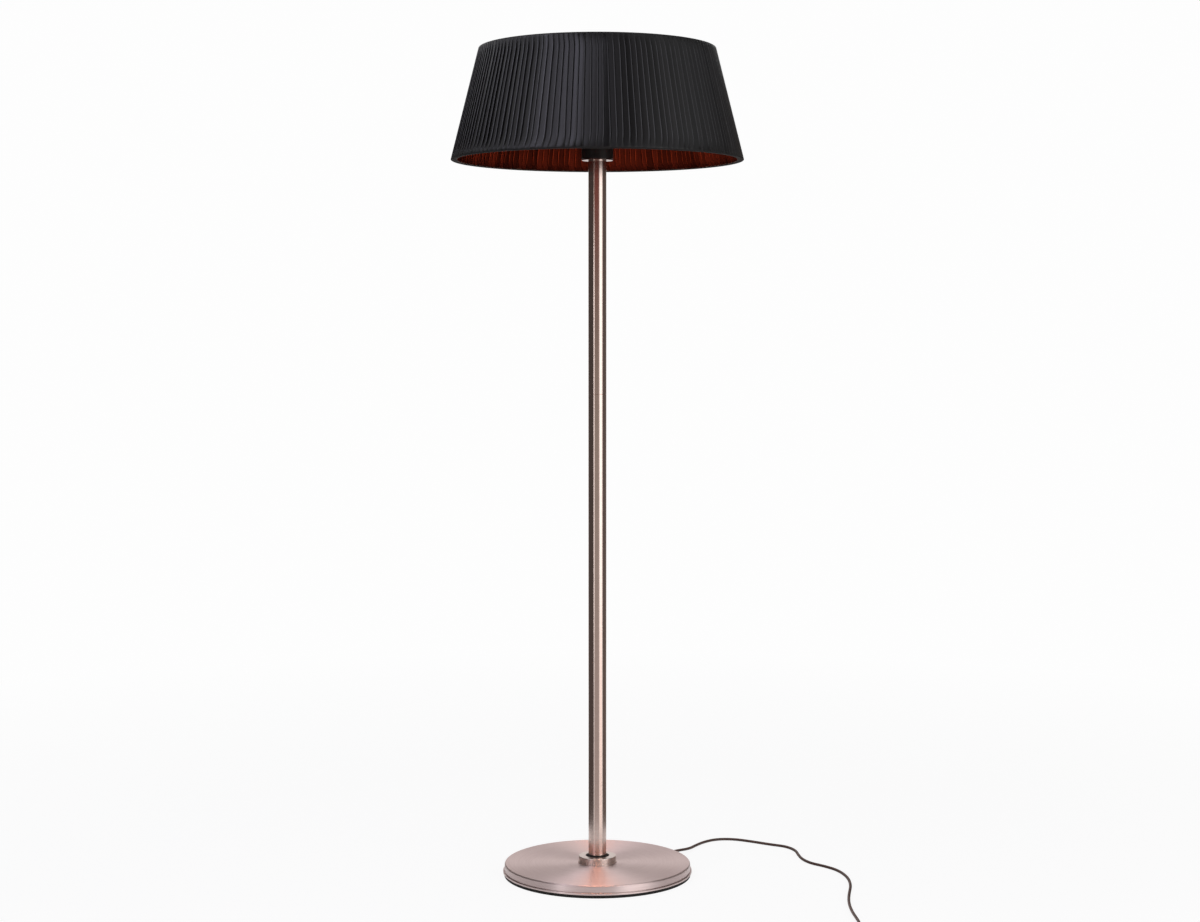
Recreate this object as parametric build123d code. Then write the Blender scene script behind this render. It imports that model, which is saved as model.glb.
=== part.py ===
from build123d import *
import math
import os

# Floor-standing electric infrared heater in the form of a shaded standing lamp.
# Millimetres, +Z up. The origin is on the floor under the middle of the round base.
# +X is the lamp's right-hand side and +Y its back, where the mains lead leaves the base.

# ------------------------------------------------------------------ driving dimensions
# Clearances
FACE_GAP = 0.3          # between curved or soft faces that seat on each other
SLIP_FIT = 0.1          # radial, of a plug or spigot in its tube
BOLT_CLEAR = 0.4        # radial, of a bolt in a clearance hole
THREAD_CLEAR = 0.05     # radial, of a screw in its threaded hole
RUN_FIT = 0.2           # radial, of a sliding plunger in its guide

# Shade, as an outline
TOTAL_H = 1735.0        # floor to the shade's upper rim
SHADE_H = 232.0
SHADE_BOTTOM_R = 305.0
SHADE_TOP_R = 246.0
PLEATS = 144            # strands of ribbon round the shade
PLEAT_DEPTH = 3.0       # of the outer run of ribbon
INNER_PLEAT_DEPTH = 2.0
RIBBON_T = 0.9
HEM_T = 1.0             # ribbon folded over the rims
LINING_T = 1.0
WIRE_R = 2.5            # rings and arms of the shade's frame
STRUT_R = 2.0
STRUTS = 8
ARMS = 4
SPIDER_DROP = 32.0      # the spider's eye below the top ring
SPIDER_EYE_R = 16.0
SPIDER_EYE_T = 4.0
STEM_R = 5.0
STEM_OVER = 9.0         # stem above the spider's eye
STEM_UNDER = 9.0        # stem below the pan's plate
NUT_FLATS_R = 9.5       # corner radius of a stem nut
NUT_T = 6.0
FINIAL_R = 10.0
FINIAL_H = 15.0

# Base
BASE_R = 200.0
COVER_H = 18.9
COVER_T = 1.2
COVER_EDGE_R = 3.2
COVER_STEP = 3.4        # the cover's top inside its folded rim
COVER_DRAFT = 0.8       # the skirt widens by this much downwards
RIM_H = 3.8             # folded rim at the cover's foot
RIM_FILLET = 1.2
GROOVE_R = 0.7          # groove between rim and skirt
PAD_T = 6.6
PAD_INSET = 2.4
PAD_WINDOW_R = 45.0     # opening in the pad under the bolt heads
WEIGHT_CLEAR = 2.3      # cast weight inside the cover's skirt
WEIGHT_CHAMFER = 2.0
WEIGHT_BORE_R = 15.0
CHANNEL_W = 12.6        # cable channel in the underside of the weight
CHANNEL_H = 9.0
BOLT_R = 4.0
BOLT_HEAD_R = 7.5       # corner radius of the hexagon
BOLT_HEAD_H = 5.3
BOLT_CIRCLE_R = 29.5
BOLTS = 3
WASHER_R = 8.0
WASHER_T = 1.6
COUNTERBORE_H = 3.0

# Pole
POLE_R = 19.0
POLE_WALL = 1.5
SEAM_Z = 1018.0         # screwed joint between the two pole lengths
FOOT_FLANGE_R = 37.0
FOOT_FLANGE_T = 5.5
SPIGOT_H = 40.0
SPIGOT_WALL = 6.0
FOOT_SCREW_R = 2.5
FOOT_SCREW_L = 7.5
FOOT_SCREW_UP = 3.5     # above the foot flange
SOCKET_L = 45.0         # threaded socket in the lower pole
THREAD_R = 13.0
THREAD_L = 24.0
JOINER_BORE_R = 9.5
PLUG_L = 40.0           # plug in the upper pole
THREAD_RELIEF = 1.0     # of the socket's thread below the nose
SEAM_CHAMFER = 0.35     # on both tubes, the fine line at the joint

# Collar at the pole's foot
COLLAR_R = 39.5
COLLAR_H = 14.5
COLLAR_WALL = 1.5
COLLAR_EDGE_R = 1.2
COLLAR_LIP = 1.2        # the foot lip stands out by this much
COLLAR_LIP_H = 4.4
COLLAR_GROOVE_R = 0.5
GASKET_R = 25.0
GASKET_LIP = 2.2
GASKET_LIP_H = 1.2
GASKET_RISE = 3.0       # cone from the collar's top up to the pole

# Head: washer, hub and heater
HUB_RISE = 3.0          # the hub's underside above the shade's lower rim
POLE_WASHER_R = 32.2
POLE_WASHER_T = 2.0
HUB_R = 33.0
HUB_WALL = 5.0
HUB_H = 125.5
HUB_SOCKET_H = 20.0     # the pole's length in the hub
HUB_LEDGE_T = 4.0
HUB_LEDGE_BORE_R = 14.0
HUB_CHAMFER = 1.2
HUB_SCREW_R = 2.5
HUB_SCREW_L = 13.0
HUB_SCREW_SUNK = 1.3    # below the hub's surface
HUB_SCREW_HEX = 3.0     # depth of the key's socket
BOSS_R = 4.4
BOSS_H = 22.0
PAN_SCREWS = 3
PAN_SCREW_R = 2.0
PAN_SCREW_L = 12.0
SCREW_HEAD_H = 2.4
PAN_TOP_R = 172.0
PAN_RIM_R = 200.0
PAN_H = 44.0
PAN_T = 1.2
PAN_LIP = 12.0
PAN_LIP_SCREW = 7.2     # guard screws inside the pan's rim
REFLECTOR_INSET = 10.0  # the reflector's rim inside the pan's
REFLECTOR_FLAT_R = 60.0
REFLECTOR_T = 0.8
REFLECTOR_DROP = 24.0
REFLECTOR_GAP = 12.0    # air gap under the pan's plate
SPACER_R = 4.5
SPACERS = 4
SPACER_CIRCLE_R = 52.0
RING_SMALL_R = 95.0     # centre lines of the two quartz rings
RING_LARGE_R = 145.0
QUARTZ_R = 6.0
QUARTZ_WALL = 1.2
GLOW_WIRE_R = 2.2
RING_SPAN = 336.0       # degrees of glass between the end caps
RING_DROP = 31.5        # ring plane under the pan's plate
CAP_W = 17.0
CAP_L = 22.0
CAP_SLEEVE = 9.0        # length of glass held in an end cap
CAP_FILLET = 1.5
CLIP_T = 1.0
CLIP_W = 7.0
CLIPS = 3
GUARD_T = 2.5
GUARD_BAR = 3.2
GUARD_INNER_R = 41.0
GUARD_RIM_W = 10.0
GUARD_RINGS = 5         # rings between the inner ring and the rim
SPOKES = 8
GUARD_SCREWS = 4
GUARD_SCREW_R = 2.0
GUARD_SCREW_L = 7.0
LEAD_WIRE_R = 1.3
LEAD_WIRE_UP = 6.0      # wires above the reflector's flat

# Rocker switch in the back of the hub
SWITCH_UP = 43.5        # centre above the hub's underside
SWITCH_FACET = 2.6      # depth of the flat on the hub
BEZEL_W = 15.0
BEZEL_H = 31.0
BEZEL_T = 1.6
SWITCH_W = 11.8
SWITCH_H = 27.0
SWITCH_DEPTH = 19.0
ROCKER_W = 8.6
ROCKER_H = 23.0
ROCKER_R = 24.0         # curvature of the dished face
ROCKER_THROW = 16.0     # degrees from off to on
ROCKER_OUT = 0.5        # face above the bezel, in the middle
ROCKER_CLEAR = 0.5
SWITCH_WALL = 0.8       # of the case beside the pivot
SWITCH_WELL = 11.4      # depth under the rocker
SWITCH_MARGIN = 1.0     # flat beyond the bezel's ends
PIVOT_R = 1.5
PIVOT_FIT = 0.06

# Terminal block and cut-out
BLOCK_W = 16.0
BLOCK_D = 12.0
BLOCK_H = 34.0
BLOCK_OFF = 1.5         # from the hub's bore
BLOCK_SCREWS = 3
BLOCK_SCREW_R = 1.6
BLOCK_SCREW_H = 5.0
BLOCK_SPACING = 4.7
SUPPLY_ENTRY = 25.5     # height of the leads' entries in the block
TIP_LEAD_ENTRY = 11.9
CUTOUT_R = 8.0
CUTOUT_H = 8.0
CUTOUT_AT = 80.0

# Tip-over switch in the base
SWITCH_AT_R = 120.0
TIP_BODY_L = 30.0
TIP_BODY_W = 22.0
TIP_POCKET_CLEAR = 0.5
TIP_BODY_FILLET = 1.5
PLUNGER_FILLET = 0.8
PLUNGER_R = 4.0
PLUNGER_COLLAR_R = 5.6
PLUNGER_COLLAR_T = 1.8
PLUNGER_TRAVEL = 5.0
PLUNGER_TAIL_R = 2.6
TIP_FLOOR_T = 1.6
SPRING_WIRE_R = 0.45
SPRING_TURNS = 3
SPRING_SPACE = 5.0

# Mains lead
CORD_R = 3.0
TIP_LEAD_R = 2.0
TIP_LEAD_OFFSET = 7.0
LEAD_ANGLE = 42.0       # where the lead leaves the base, from +X towards +Y
LEAD_Z = 10.0           # height of the lead in the base
LEAD_BEND = 30.0
TIP_LEAD_BEND = 14.0
BLOCK_BEND = 11.0
GLAND_NECK_R = 4.8
GLAND_COLLAR_R = 5.6
GLAND_FLANGE_R = 6.4
GLAND_FLANGE_T = 1.6
GLAND_TAIL_R = 3.9
GLAND_L = 21.0
GLAND_INSIDE = 12.0
GLAND_LEAD_IN = 0.8     # taper at the inner end
GLAND_BARB_L = 2.3      # of the snap-in collar behind the skirt
GLAND_BARB_SLOPE = 0.6

# Route of the lead on the floor, from the gland to the coil
CORD_POINTS = [
    (175.38, 157.91, 10.0),
    (196.0, 187.0, 6.6),
    (213.0, 227.0, 3.9),
    (238.0, 266.0, 3.2),
    (270.0, 290.0, 3.1),
    (308.0, 290.5, 3.1),
    (347.0, 268.0, 3.1),
    (387.0, 240.0, 3.1),
    (421.0, 222.0, 3.1),
    (438.5, 187.0, 3.1),
    (440.5, 148.0, 3.1),
    (445.0, 110.0, 3.1),
    (460.0, 75.0, 3.1),
    (487.0, 50.0, 3.1),
    (513.0, 15.0, 3.1),
    (527.0, -42.0, 3.1),
    (526.0, -106.0, 3.1),
    (514.0, -172.0, 3.1),
    (505.0, -240.0, 3.1),
    (504.0, -308.0, 3.1),
    (509.0, -372.0, 3.3),
    (508.0, -428.0, 4.6),
]
COIL_START = (508.0, -462.0)    # where the lead runs into the coil, heading towards -Y
COIL_OUTER_R = 41.0
COIL_PITCH = 8.0                # from turn to turn, sideways
COIL_LAYER = 7.0                # from layer to layer
COIL_IN = 5                     # half turns spiralling in
COIL_OUT = 4                    # half turns spiralling out
TIE_W = 12.0
TIE_T = 1.0
TAIL_POINTS = [
    (512.0, -494.0, 11.6),
    (514.0, -522.0, 19.3),
]
MAINS_PLUG_R = 19.0
MAINS_PLUG_L = 36.0
MAINS_PLUG_NECK_R = 13.0
BOOT_L = 26.0
BOOT_ROOT_R = 6.5
BOOT_TIP_R = 4.2
PIN_R = 2.4
PIN_L = 19.0
PIN_SPACING = 19.0
PLUG_FLOOR_GAP = 0.3
PLUG_SHOULDER = 3.0     # bevel at the neck
PLUG_GRIP_L = 12.0      # cylindrical end of the body
PLUG_BEVEL = 1.0
PLUG_STEP = 2.0         # between neck cone and cylindrical end
PLUG_AT = (514.0, -546.0)       # tip of the plug's boot

# ------------------------------------------------------------------ derived levels and radii
COVER_TOP = PAD_T + COVER_H
COVER_R = BASE_R - COVER_STEP
COVER_BORE_R = COVER_R - COVER_T
WEIGHT_R = COVER_BORE_R - WEIGHT_CLEAR
WEIGHT_TOP = COVER_TOP - COVER_T
FOOT_TOP = COVER_TOP + FOOT_FLANGE_T
POLE_BORE_R = POLE_R - POLE_WALL
SPIGOT_R = POLE_BORE_R - SLIP_FIT
SPIGOT_BORE_R = SPIGOT_R - SPIGOT_WALL
SHADE_BOTTOM_Z = TOTAL_H - SHADE_H
HUB_Z = SHADE_BOTTOM_Z + HUB_RISE
POLE_TOP = HUB_Z + HUB_SOCKET_H
HUB_FLOOR = POLE_TOP + HUB_LEDGE_T
HUB_BORE_R = HUB_R - HUB_WALL
PLATE_Z = HUB_Z + HUB_H
PLATE_TOP = PLATE_Z + PAN_T
PAN_RIM_Z = PLATE_Z - PAN_H
REFLECTOR_R = PAN_RIM_R - REFLECTOR_INSET
REFLECTOR_Z = PLATE_Z - REFLECTOR_GAP
RING_Z = PLATE_Z - RING_DROP
RING_TOP_Z = TOTAL_H - HEM_T - FACE_GAP - WIRE_R
RING_BOTTOM_Z = SHADE_BOTTOM_Z + HEM_T + FACE_GAP + WIRE_R
EYE_Z = RING_TOP_Z - SPIDER_DROP
LINING_IN = PLEAT_DEPTH + RIBBON_T + FACE_GAP
WIRE_IN = LINING_IN + LINING_T + FACE_GAP + WIRE_R
INNER_RUN_IN = WIRE_IN + WIRE_R + FACE_GAP
WALL_IN = INNER_RUN_IN + INNER_PLEAT_DEPTH + RIBBON_T
COIL_Z = TIE_T + 2 * FACE_GAP + CORD_R
PLUG_Z = MAINS_PLUG_R + PLUG_FLOOR_GAP
QUARTZ_RINGS = [(RING_SMALL_R, 90.0), (RING_LARGE_R, 270.0)]    # radius, and direction of the opening
SWITCH_Z = HUB_Z + SWITCH_UP
FACET_Y = HUB_R - SWITCH_FACET
TIP_ANGLE = LEAD_ANGLE + 180.0


# ------------------------------------------------------------------ helpers
def disc(radius, z0, z1):
    """Upright cylinder from height z0 to z1."""
    return Pos(0, 0, z0) * Cylinder(radius, z1 - z0, align=(Align.CENTER, Align.CENTER, Align.MIN))


def ring(outer, inner, z0, z1):
    """Upright tube from height z0 to z1."""
    return disc(outer, z0, z1) - disc(inner, z0, z1)


def block(size_x, size_y, z0, z1):
    """Upright box, centred on the axis, from height z0 to z1."""
    return Pos(0, 0, z0) * Box(size_x, size_y, z1 - z0, align=(Align.CENTER, Align.CENTER, Align.MIN))


def rod(start, end, radius):
    """Round bar from one point to another."""
    line = Line(start, end)
    return sweep(Plane(origin=start, z_dir=line % 0) * Circle(radius), path=line)


def turned(points):
    """Solid turned about Z from a closed outline of (radius, height) points."""
    outline = Polyline([(r, 0, z) for r, z in points], close=True)
    return revolve(make_face(outline), Axis.Z)


def around(count, first=0.0):
    """Angles in degrees, evenly round a circle."""
    return [first + i * 360.0 / count for i in range(count)]


def polar(radius, angle, z=0.0):
    """Point at a radius and an angle in degrees."""
    a = math.radians(angle)
    return (radius * math.cos(a), radius * math.sin(a), z)


def at_angle(radius, angle, z=0.0):
    """Place whose local X points outwards at this angle."""
    return Rot(0, 0, angle) * Pos(radius, 0, z)


def lying(radius, x0, x1, z):
    """Cylinder along local X from x0 to x1 at height z."""
    return Pos(x0, 0, z) * Rot(0, 90, 0) * disc(radius, 0, x1 - x0)


def shade_r(z):
    """Radius of the shade's outline at height z."""
    share = (z - SHADE_BOTTOM_Z) / SHADE_H
    return SHADE_BOTTOM_R + (SHADE_TOP_R - SHADE_BOTTOM_R) * share


def reflector_z(radius):
    """Height of the reflector's underside at a radius."""
    share = (radius - REFLECTOR_FLAT_R) / (REFLECTOR_R - REFLECTOR_FLAT_R)
    return REFLECTOR_Z - REFLECTOR_T - REFLECTOR_DROP * max(0.0, share) ** 2


def cone_wall(z0, z1, inset, thickness):
    """Smooth wall that follows the shade's slope, a given distance inside its outline."""
    outer0 = shade_r(z0) - inset
    outer1 = shade_r(z1) - inset
    corners = [(outer0, z0), (outer1, z1), (outer1 - thickness, z1), (outer0 - thickness, z0)]
    return turned(corners)


def star(z, inset, depth):
    """Pleated outline at height z: ridges at the inset, valleys deeper by the depth."""
    ridge = shade_r(z) - inset
    points = []
    for angle in around(PLEATS):
        points.append(polar(ridge, angle, z))
        points.append(polar(ridge - depth, angle + 180.0 / PLEATS, z))
    return make_face(Polyline(points, close=True))


def pleated(z0, z1, inset, depth):
    """Solid pleated frustum."""
    return loft([star(z0, inset, depth), star(z1, inset, depth)], ruled=True)


def fold(points, start, end):
    """Route of straight runs joined by the largest tangent arcs that the runs allow."""
    route = [Vector(*p) for p in [start, *points, end]]
    radii = []
    for before, corner, after in zip(route, route[1:], route[2:]):
        first = corner - before
        second = after - corner
        half_turn = math.radians(first.get_angle(second)) / 2
        shorter = min(first.length, second.length)
        radii.append(0.45 * shorter / math.tan(half_turn))
    return FilletPolyline(*route, radius=radii), radii


def tube_along(path, radius):
    """Round tube swept along a path."""
    return sweep(Plane(origin=path @ 0, z_dir=path % 0) * Circle(radius), path=path)


def report(name, solid, path, radii=None):
    """Print a tube's length, its volume against section times length, and its bends."""
    section = math.pi * CORD_R ** 2
    print(f"{name}: {path.length:.1f} mm long, volume ratio {solid.volume / (section * path.length):.4f}")
    if radii:
        print(f"{name}: bend radii", " ".join(f"{r:.0f}" for r in radii))


# ------------------------------------------------------------------ base
def bolt_places():
    """Places of the foot bolts, clear of the cable channel."""
    return [at_angle(BOLT_CIRCLE_R, a) for a in around(BOLTS, LEAD_ANGLE + 90.0)]


def gland_passage():
    """Space for the gland in the rim of the base, open downwards."""
    radius = GLAND_COLLAR_R + FACE_GAP
    reach = BASE_R + GLAND_L
    start = BASE_R - GLAND_INSIDE - FACE_GAP
    return Rot(0, 0, LEAD_ANGLE) * lying(radius, start, reach, LEAD_Z)


def base_cover():
    """Spun steel cover: a drafted skirt with a rounded upper edge, a groove and a wider folded rim."""
    rim_top = PAD_T + RIM_H
    skirt_r = COVER_R + COVER_DRAFT
    outer = turned([(0, rim_top), (skirt_r, rim_top), (COVER_R, COVER_TOP), (0, COVER_TOP)])
    outer = fillet(outer.edges().group_by(Axis.Z)[-1], COVER_EDGE_R)
    rim = disc(BASE_R, PAD_T, rim_top)
    outer += fillet(rim.edges().group_by(Axis.Z)[-1], RIM_FILLET)
    inner = disc(COVER_BORE_R, PAD_T, WEIGHT_TOP)
    inner = fillet(inner.edges().group_by(Axis.Z)[-1], COVER_EDGE_R - COVER_T)
    cover = outer - inner
    cover -= Pos(0, 0, rim_top) * Torus(skirt_r, GROOVE_R)
    cover -= disc(SPIGOT_BORE_R, PAD_T, COVER_TOP)
    for place in bolt_places():
        cover -= place * disc(BOLT_R + BOLT_CLEAR, PAD_T, COVER_TOP)
    reach = 4 * COVER_STEP
    notch = Pos(BASE_R, 0, 0) * block(reach, 2 * (GLAND_NECK_R + FACE_GAP), PAD_T, LEAD_Z)
    hole = lying(GLAND_NECK_R + FACE_GAP, BASE_R - reach / 2, BASE_R + reach / 2, LEAD_Z)
    return cover - Rot(0, 0, LEAD_ANGLE) * (notch + hole)


def tip_pocket():
    """Pocket for the tip-over switch, right through the weight."""
    length = TIP_BODY_L + 2 * TIP_POCKET_CLEAR
    width = TIP_BODY_W + 2 * TIP_POCKET_CLEAR
    return at_angle(SWITCH_AT_R, TIP_ANGLE) * block(length, width, PAD_T, WEIGHT_TOP)


def base_weight():
    """Cast weight with a cable channel underneath and a pocket for the tip-over switch."""
    weight = disc(WEIGHT_R, PAD_T, WEIGHT_TOP)
    weight = chamfer(weight.edges().group_by(Axis.Z)[-1], WEIGHT_CHAMFER)
    channel_l = WEIGHT_R + SWITCH_AT_R
    middle = (WEIGHT_R - SWITCH_AT_R) / 2
    weight -= at_angle(middle, LEAD_ANGLE) * block(channel_l, CHANNEL_W, PAD_T, PAD_T + CHANNEL_H)
    weight -= at_angle(LEAD_BEND / 2, LEAD_ANGLE) * block(LEAD_BEND, CHANNEL_W, PAD_T, WEIGHT_TOP)
    weight -= disc(WEIGHT_BORE_R, PAD_T, WEIGHT_TOP)
    for place in bolt_places():
        weight -= place * disc(BOLT_R + BOLT_CLEAR, PAD_T, WEIGHT_TOP)
        weight -= place * disc(WASHER_R + BOLT_CLEAR, PAD_T, PAD_T + COUNTERBORE_H)
    weight -= tip_pocket()
    return weight - gland_passage()


def floor_pad():
    """Rubber pad that the base stands on."""
    pad = disc(BASE_R - PAD_INSET, 0, PAD_T)
    pad -= disc(PAD_WINDOW_R, 0, PAD_T)
    pad -= at_angle(SWITCH_AT_R, TIP_ANGLE) * disc(PLUNGER_R + 4 * RUN_FIT, 0, PAD_T)
    return pad - gland_passage()


def foot_bolts():
    """Hexagon bolts that clamp weight, cover and foot flange together."""
    seat = PAD_T + COUNTERBORE_H - WASHER_T
    head = extrude(Pos(0, 0, seat - BOLT_HEAD_H) * RegularPolygon(BOLT_HEAD_R, 6), amount=BOLT_HEAD_H)
    bolt = head + disc(BOLT_R, seat, FOOT_TOP)
    return [place * bolt for place in bolt_places()]


def foot_washers():
    """Plain washers in the weight's counterbores."""
    top = PAD_T + COUNTERBORE_H
    washer = ring(WASHER_R, BOLT_R + BOLT_CLEAR, top - WASHER_T, top)
    return [place * washer for place in bolt_places()]


def foot_screw_places():
    """Places of the set screws in the pole's foot."""
    return [at_angle(0, a, FOOT_TOP + FOOT_SCREW_UP) for a in around(3, LEAD_ANGLE)]


def foot_flange():
    """Turned flange with a spigot that the pole slips over."""
    flange = disc(FOOT_FLANGE_R, COVER_TOP, FOOT_TOP)
    spigot = disc(SPIGOT_R, FOOT_TOP, FOOT_TOP + SPIGOT_H)
    spigot = chamfer(spigot.edges().group_by(Axis.Z)[-1], POLE_WALL)
    flange = flange + spigot - disc(SPIGOT_BORE_R, COVER_TOP, FOOT_TOP + SPIGOT_H)
    for place in bolt_places():
        flange -= place * disc(BOLT_R + THREAD_CLEAR, COVER_TOP, FOOT_TOP)
    for place in foot_screw_places():
        flange -= place * lying(FOOT_SCREW_R + THREAD_CLEAR, SPIGOT_BORE_R, POLE_R, 0)
    return flange


def foot_set_screws():
    """Set screws that lock the pole on its spigot, hidden by the collar."""
    start = POLE_R + POLE_WALL / 2 - FOOT_SCREW_L
    screw = lying(FOOT_SCREW_R, start, start + FOOT_SCREW_L, 0)
    return [place * screw for place in foot_screw_places()]


def base_collar():
    """Brushed cup with a foot lip that hides the flange."""
    top = COVER_TOP + COLLAR_H
    cup = disc(COLLAR_R, COVER_TOP, top)
    cup = fillet(cup.edges().group_by(Axis.Z)[-1], COLLAR_EDGE_R)
    lip_top = COVER_TOP + COLLAR_LIP_H
    lip = disc(COLLAR_R + COLLAR_LIP, COVER_TOP, lip_top)
    cup += fillet(lip.edges().group_by(Axis.Z)[-1], COLLAR_LIP / 2)
    cup -= Pos(0, 0, lip_top) * Torus(COLLAR_R, COLLAR_GROOVE_R)
    cup -= disc(COLLAR_R - COLLAR_WALL, COVER_TOP, top - COLLAR_WALL)
    return cup - disc(GASKET_R, COVER_TOP, top)


def collar_gasket():
    """Rubber ring between collar and pole, coned up to the pole, with a lip under the collar's top."""
    top = COVER_TOP + COLLAR_H
    lip_top = top - COLLAR_WALL - FACE_GAP / 2
    body = disc(GASKET_R - FACE_GAP / 2, lip_top - GASKET_LIP_H, top)
    body += Pos(0, 0, top) * Cone(
        GASKET_R - FACE_GAP / 2, POLE_R + 2 * FACE_GAP, GASKET_RISE, align=(Align.CENTER, Align.CENTER, Align.MIN))
    body += disc(GASKET_R + GASKET_LIP, lip_top - GASKET_LIP_H, lip_top)
    return body - disc(POLE_R + FACE_GAP, FOOT_TOP, top + GASKET_RISE)


# ------------------------------------------------------------------ tip-over switch
def tip_switch_levels():
    """Heights of the plunger's collar and of the spring above it, with the plunger pushed in."""
    collar_z = PAD_T + FACE_GAP + TIP_FLOOR_T + PLUNGER_TRAVEL + FACE_GAP
    spring_z = collar_z + PLUNGER_COLLAR_T
    return collar_z, spring_z


def tip_switch_body():
    """Switch case in the weight's pocket, with a guide for its plunger."""
    _, spring_z = tip_switch_levels()
    case = block(TIP_BODY_L, TIP_BODY_W, PAD_T, WEIGHT_TOP - FACE_GAP)
    case = fillet(case.edges().filter_by(Axis.Z), TIP_BODY_FILLET)
    case -= disc(PLUNGER_R + RUN_FIT, PAD_T, WEIGHT_TOP - FACE_GAP - TIP_FLOOR_T / 2)
    floor = PAD_T + FACE_GAP + TIP_FLOOR_T
    case -= disc(PLUNGER_COLLAR_R + RUN_FIT, floor, spring_z + SPRING_SPACE)
    return at_angle(SWITCH_AT_R, TIP_ANGLE) * case


def tip_switch_plunger():
    """Button that the floor holds in and a spring pushes out when the heater tips."""
    collar_z, spring_z = tip_switch_levels()
    stem = disc(PLUNGER_R, 0, collar_z)
    stem = fillet(stem.edges().group_by(Axis.Z)[0], PLUNGER_FILLET)
    stem += disc(PLUNGER_COLLAR_R, collar_z, spring_z)
    stem += disc(PLUNGER_TAIL_R, spring_z, spring_z + SPRING_SPACE / 2)
    return at_angle(SWITCH_AT_R, TIP_ANGLE) * stem


def tip_switch_spring():
    """Compression spring between the plunger's collar and the case."""
    _, spring_z = tip_switch_levels()
    low = spring_z + SPRING_WIRE_R + FACE_GAP / 2
    height = SPRING_SPACE - 2 * SPRING_WIRE_R - FACE_GAP
    radius = PLUNGER_COLLAR_R - 2 * SPRING_WIRE_R
    path = Helix(height / SPRING_TURNS, height, radius)
    wire = sweep(Plane(origin=path @ 0, z_dir=path % 0) * Circle(SPRING_WIRE_R), path=path, is_frenet=True)
    return at_angle(SWITCH_AT_R, TIP_ANGLE) * Pos(0, 0, low) * wire


# ------------------------------------------------------------------ leads inside the heater
def supply_lead():
    """Mains lead from the gland through the base and up the pole to the terminal block."""
    start = polar(BASE_R - GLAND_INSIDE, LEAD_ANGLE, LEAD_Z)
    foot = (0, 0, LEAD_Z)
    turn = HUB_FLOOR + SUPPLY_ENTRY
    end = (0, BLOCK_D - HUB_BORE_R + BLOCK_OFF, turn)
    path = FilletPolyline(start, foot, (0, 0, turn), end, radius=[LEAD_BEND, BLOCK_BEND])
    return tube_along(path, CORD_R)


def tip_switch_lead():
    """Thin lead from the tip-over switch up the pole, beside the mains lead."""
    start = polar(SWITCH_AT_R - TIP_BODY_L / 2, TIP_ANGLE, LEAD_Z)
    x, y, _ = polar(TIP_LEAD_OFFSET, TIP_ANGLE)
    turn = HUB_FLOOR + TIP_LEAD_ENTRY
    end = (x, BLOCK_D - HUB_BORE_R + BLOCK_OFF, turn)
    path = FilletPolyline(start, (x, y, LEAD_Z), (x, y, turn), end, radius=[TIP_LEAD_BEND, 2 * TIP_LEAD_R])
    return tube_along(path, TIP_LEAD_R)


# ------------------------------------------------------------------ pole
def lower_pole():
    """Lower steel tube, from the foot flange to the screwed joint."""
    pole = disc(POLE_R, FOOT_TOP, SEAM_Z)
    pole = chamfer(pole.edges().group_by(Axis.Z)[-1], SEAM_CHAMFER)
    pole -= disc(POLE_BORE_R, FOOT_TOP, SEAM_Z)
    for place in foot_screw_places():
        pole -= place * lying(FOOT_SCREW_R + BOLT_CLEAR, SPIGOT_BORE_R, POLE_R + POLE_WALL, 0)
    return pole


def upper_pole():
    """Upper steel tube, from the screwed joint into the hub."""
    pole = disc(POLE_R, SEAM_Z, POLE_TOP)
    pole = chamfer(pole.edges().group_by(Axis.Z)[0], SEAM_CHAMFER)
    return pole - disc(POLE_BORE_R, SEAM_Z, POLE_TOP)


def joiner_socket():
    """Threaded socket fixed in the lower pole's top end."""
    socket = ring(SPIGOT_R, JOINER_BORE_R, SEAM_Z - SOCKET_L, SEAM_Z)
    return socket - disc(THREAD_R + THREAD_CLEAR, SEAM_Z - THREAD_L - THREAD_RELIEF, SEAM_Z)


def joiner_plug():
    """Plug fixed in the upper pole, with a threaded nose that screws into the socket."""
    nose = disc(THREAD_R, SEAM_Z - THREAD_L, SEAM_Z)
    nose = chamfer(nose.edges().group_by(Axis.Z)[0], THREAD_RELIEF)
    plug = nose + disc(SPIGOT_R, SEAM_Z, SEAM_Z + PLUG_L)
    return plug - disc(JOINER_BORE_R, SEAM_Z - THREAD_L, SEAM_Z + PLUG_L)


def pole_washer():
    """Bright trim washer under the hub."""
    return ring(POLE_WASHER_R, POLE_R + FACE_GAP, HUB_Z - POLE_WASHER_T, HUB_Z)


# ------------------------------------------------------------------ hub and switch
def boss_places():
    """Places of the screw bosses inside the hub, clear of the switch and the block."""
    return [at_angle(HUB_BORE_R - BOSS_R / 2, a) for a in around(PAN_SCREWS, 30.0)]


def hub_screw_places():
    """Places of the hub's two set screws, low on the rear quarters."""
    return [at_angle(0, a, HUB_Z + HUB_SOCKET_H / 2) for a in (45.0, 135.0)]


def wire_slot_angles():
    """Directions of the two slots through which the heater wires leave the hub."""
    return around(2, 90.0)


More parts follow.
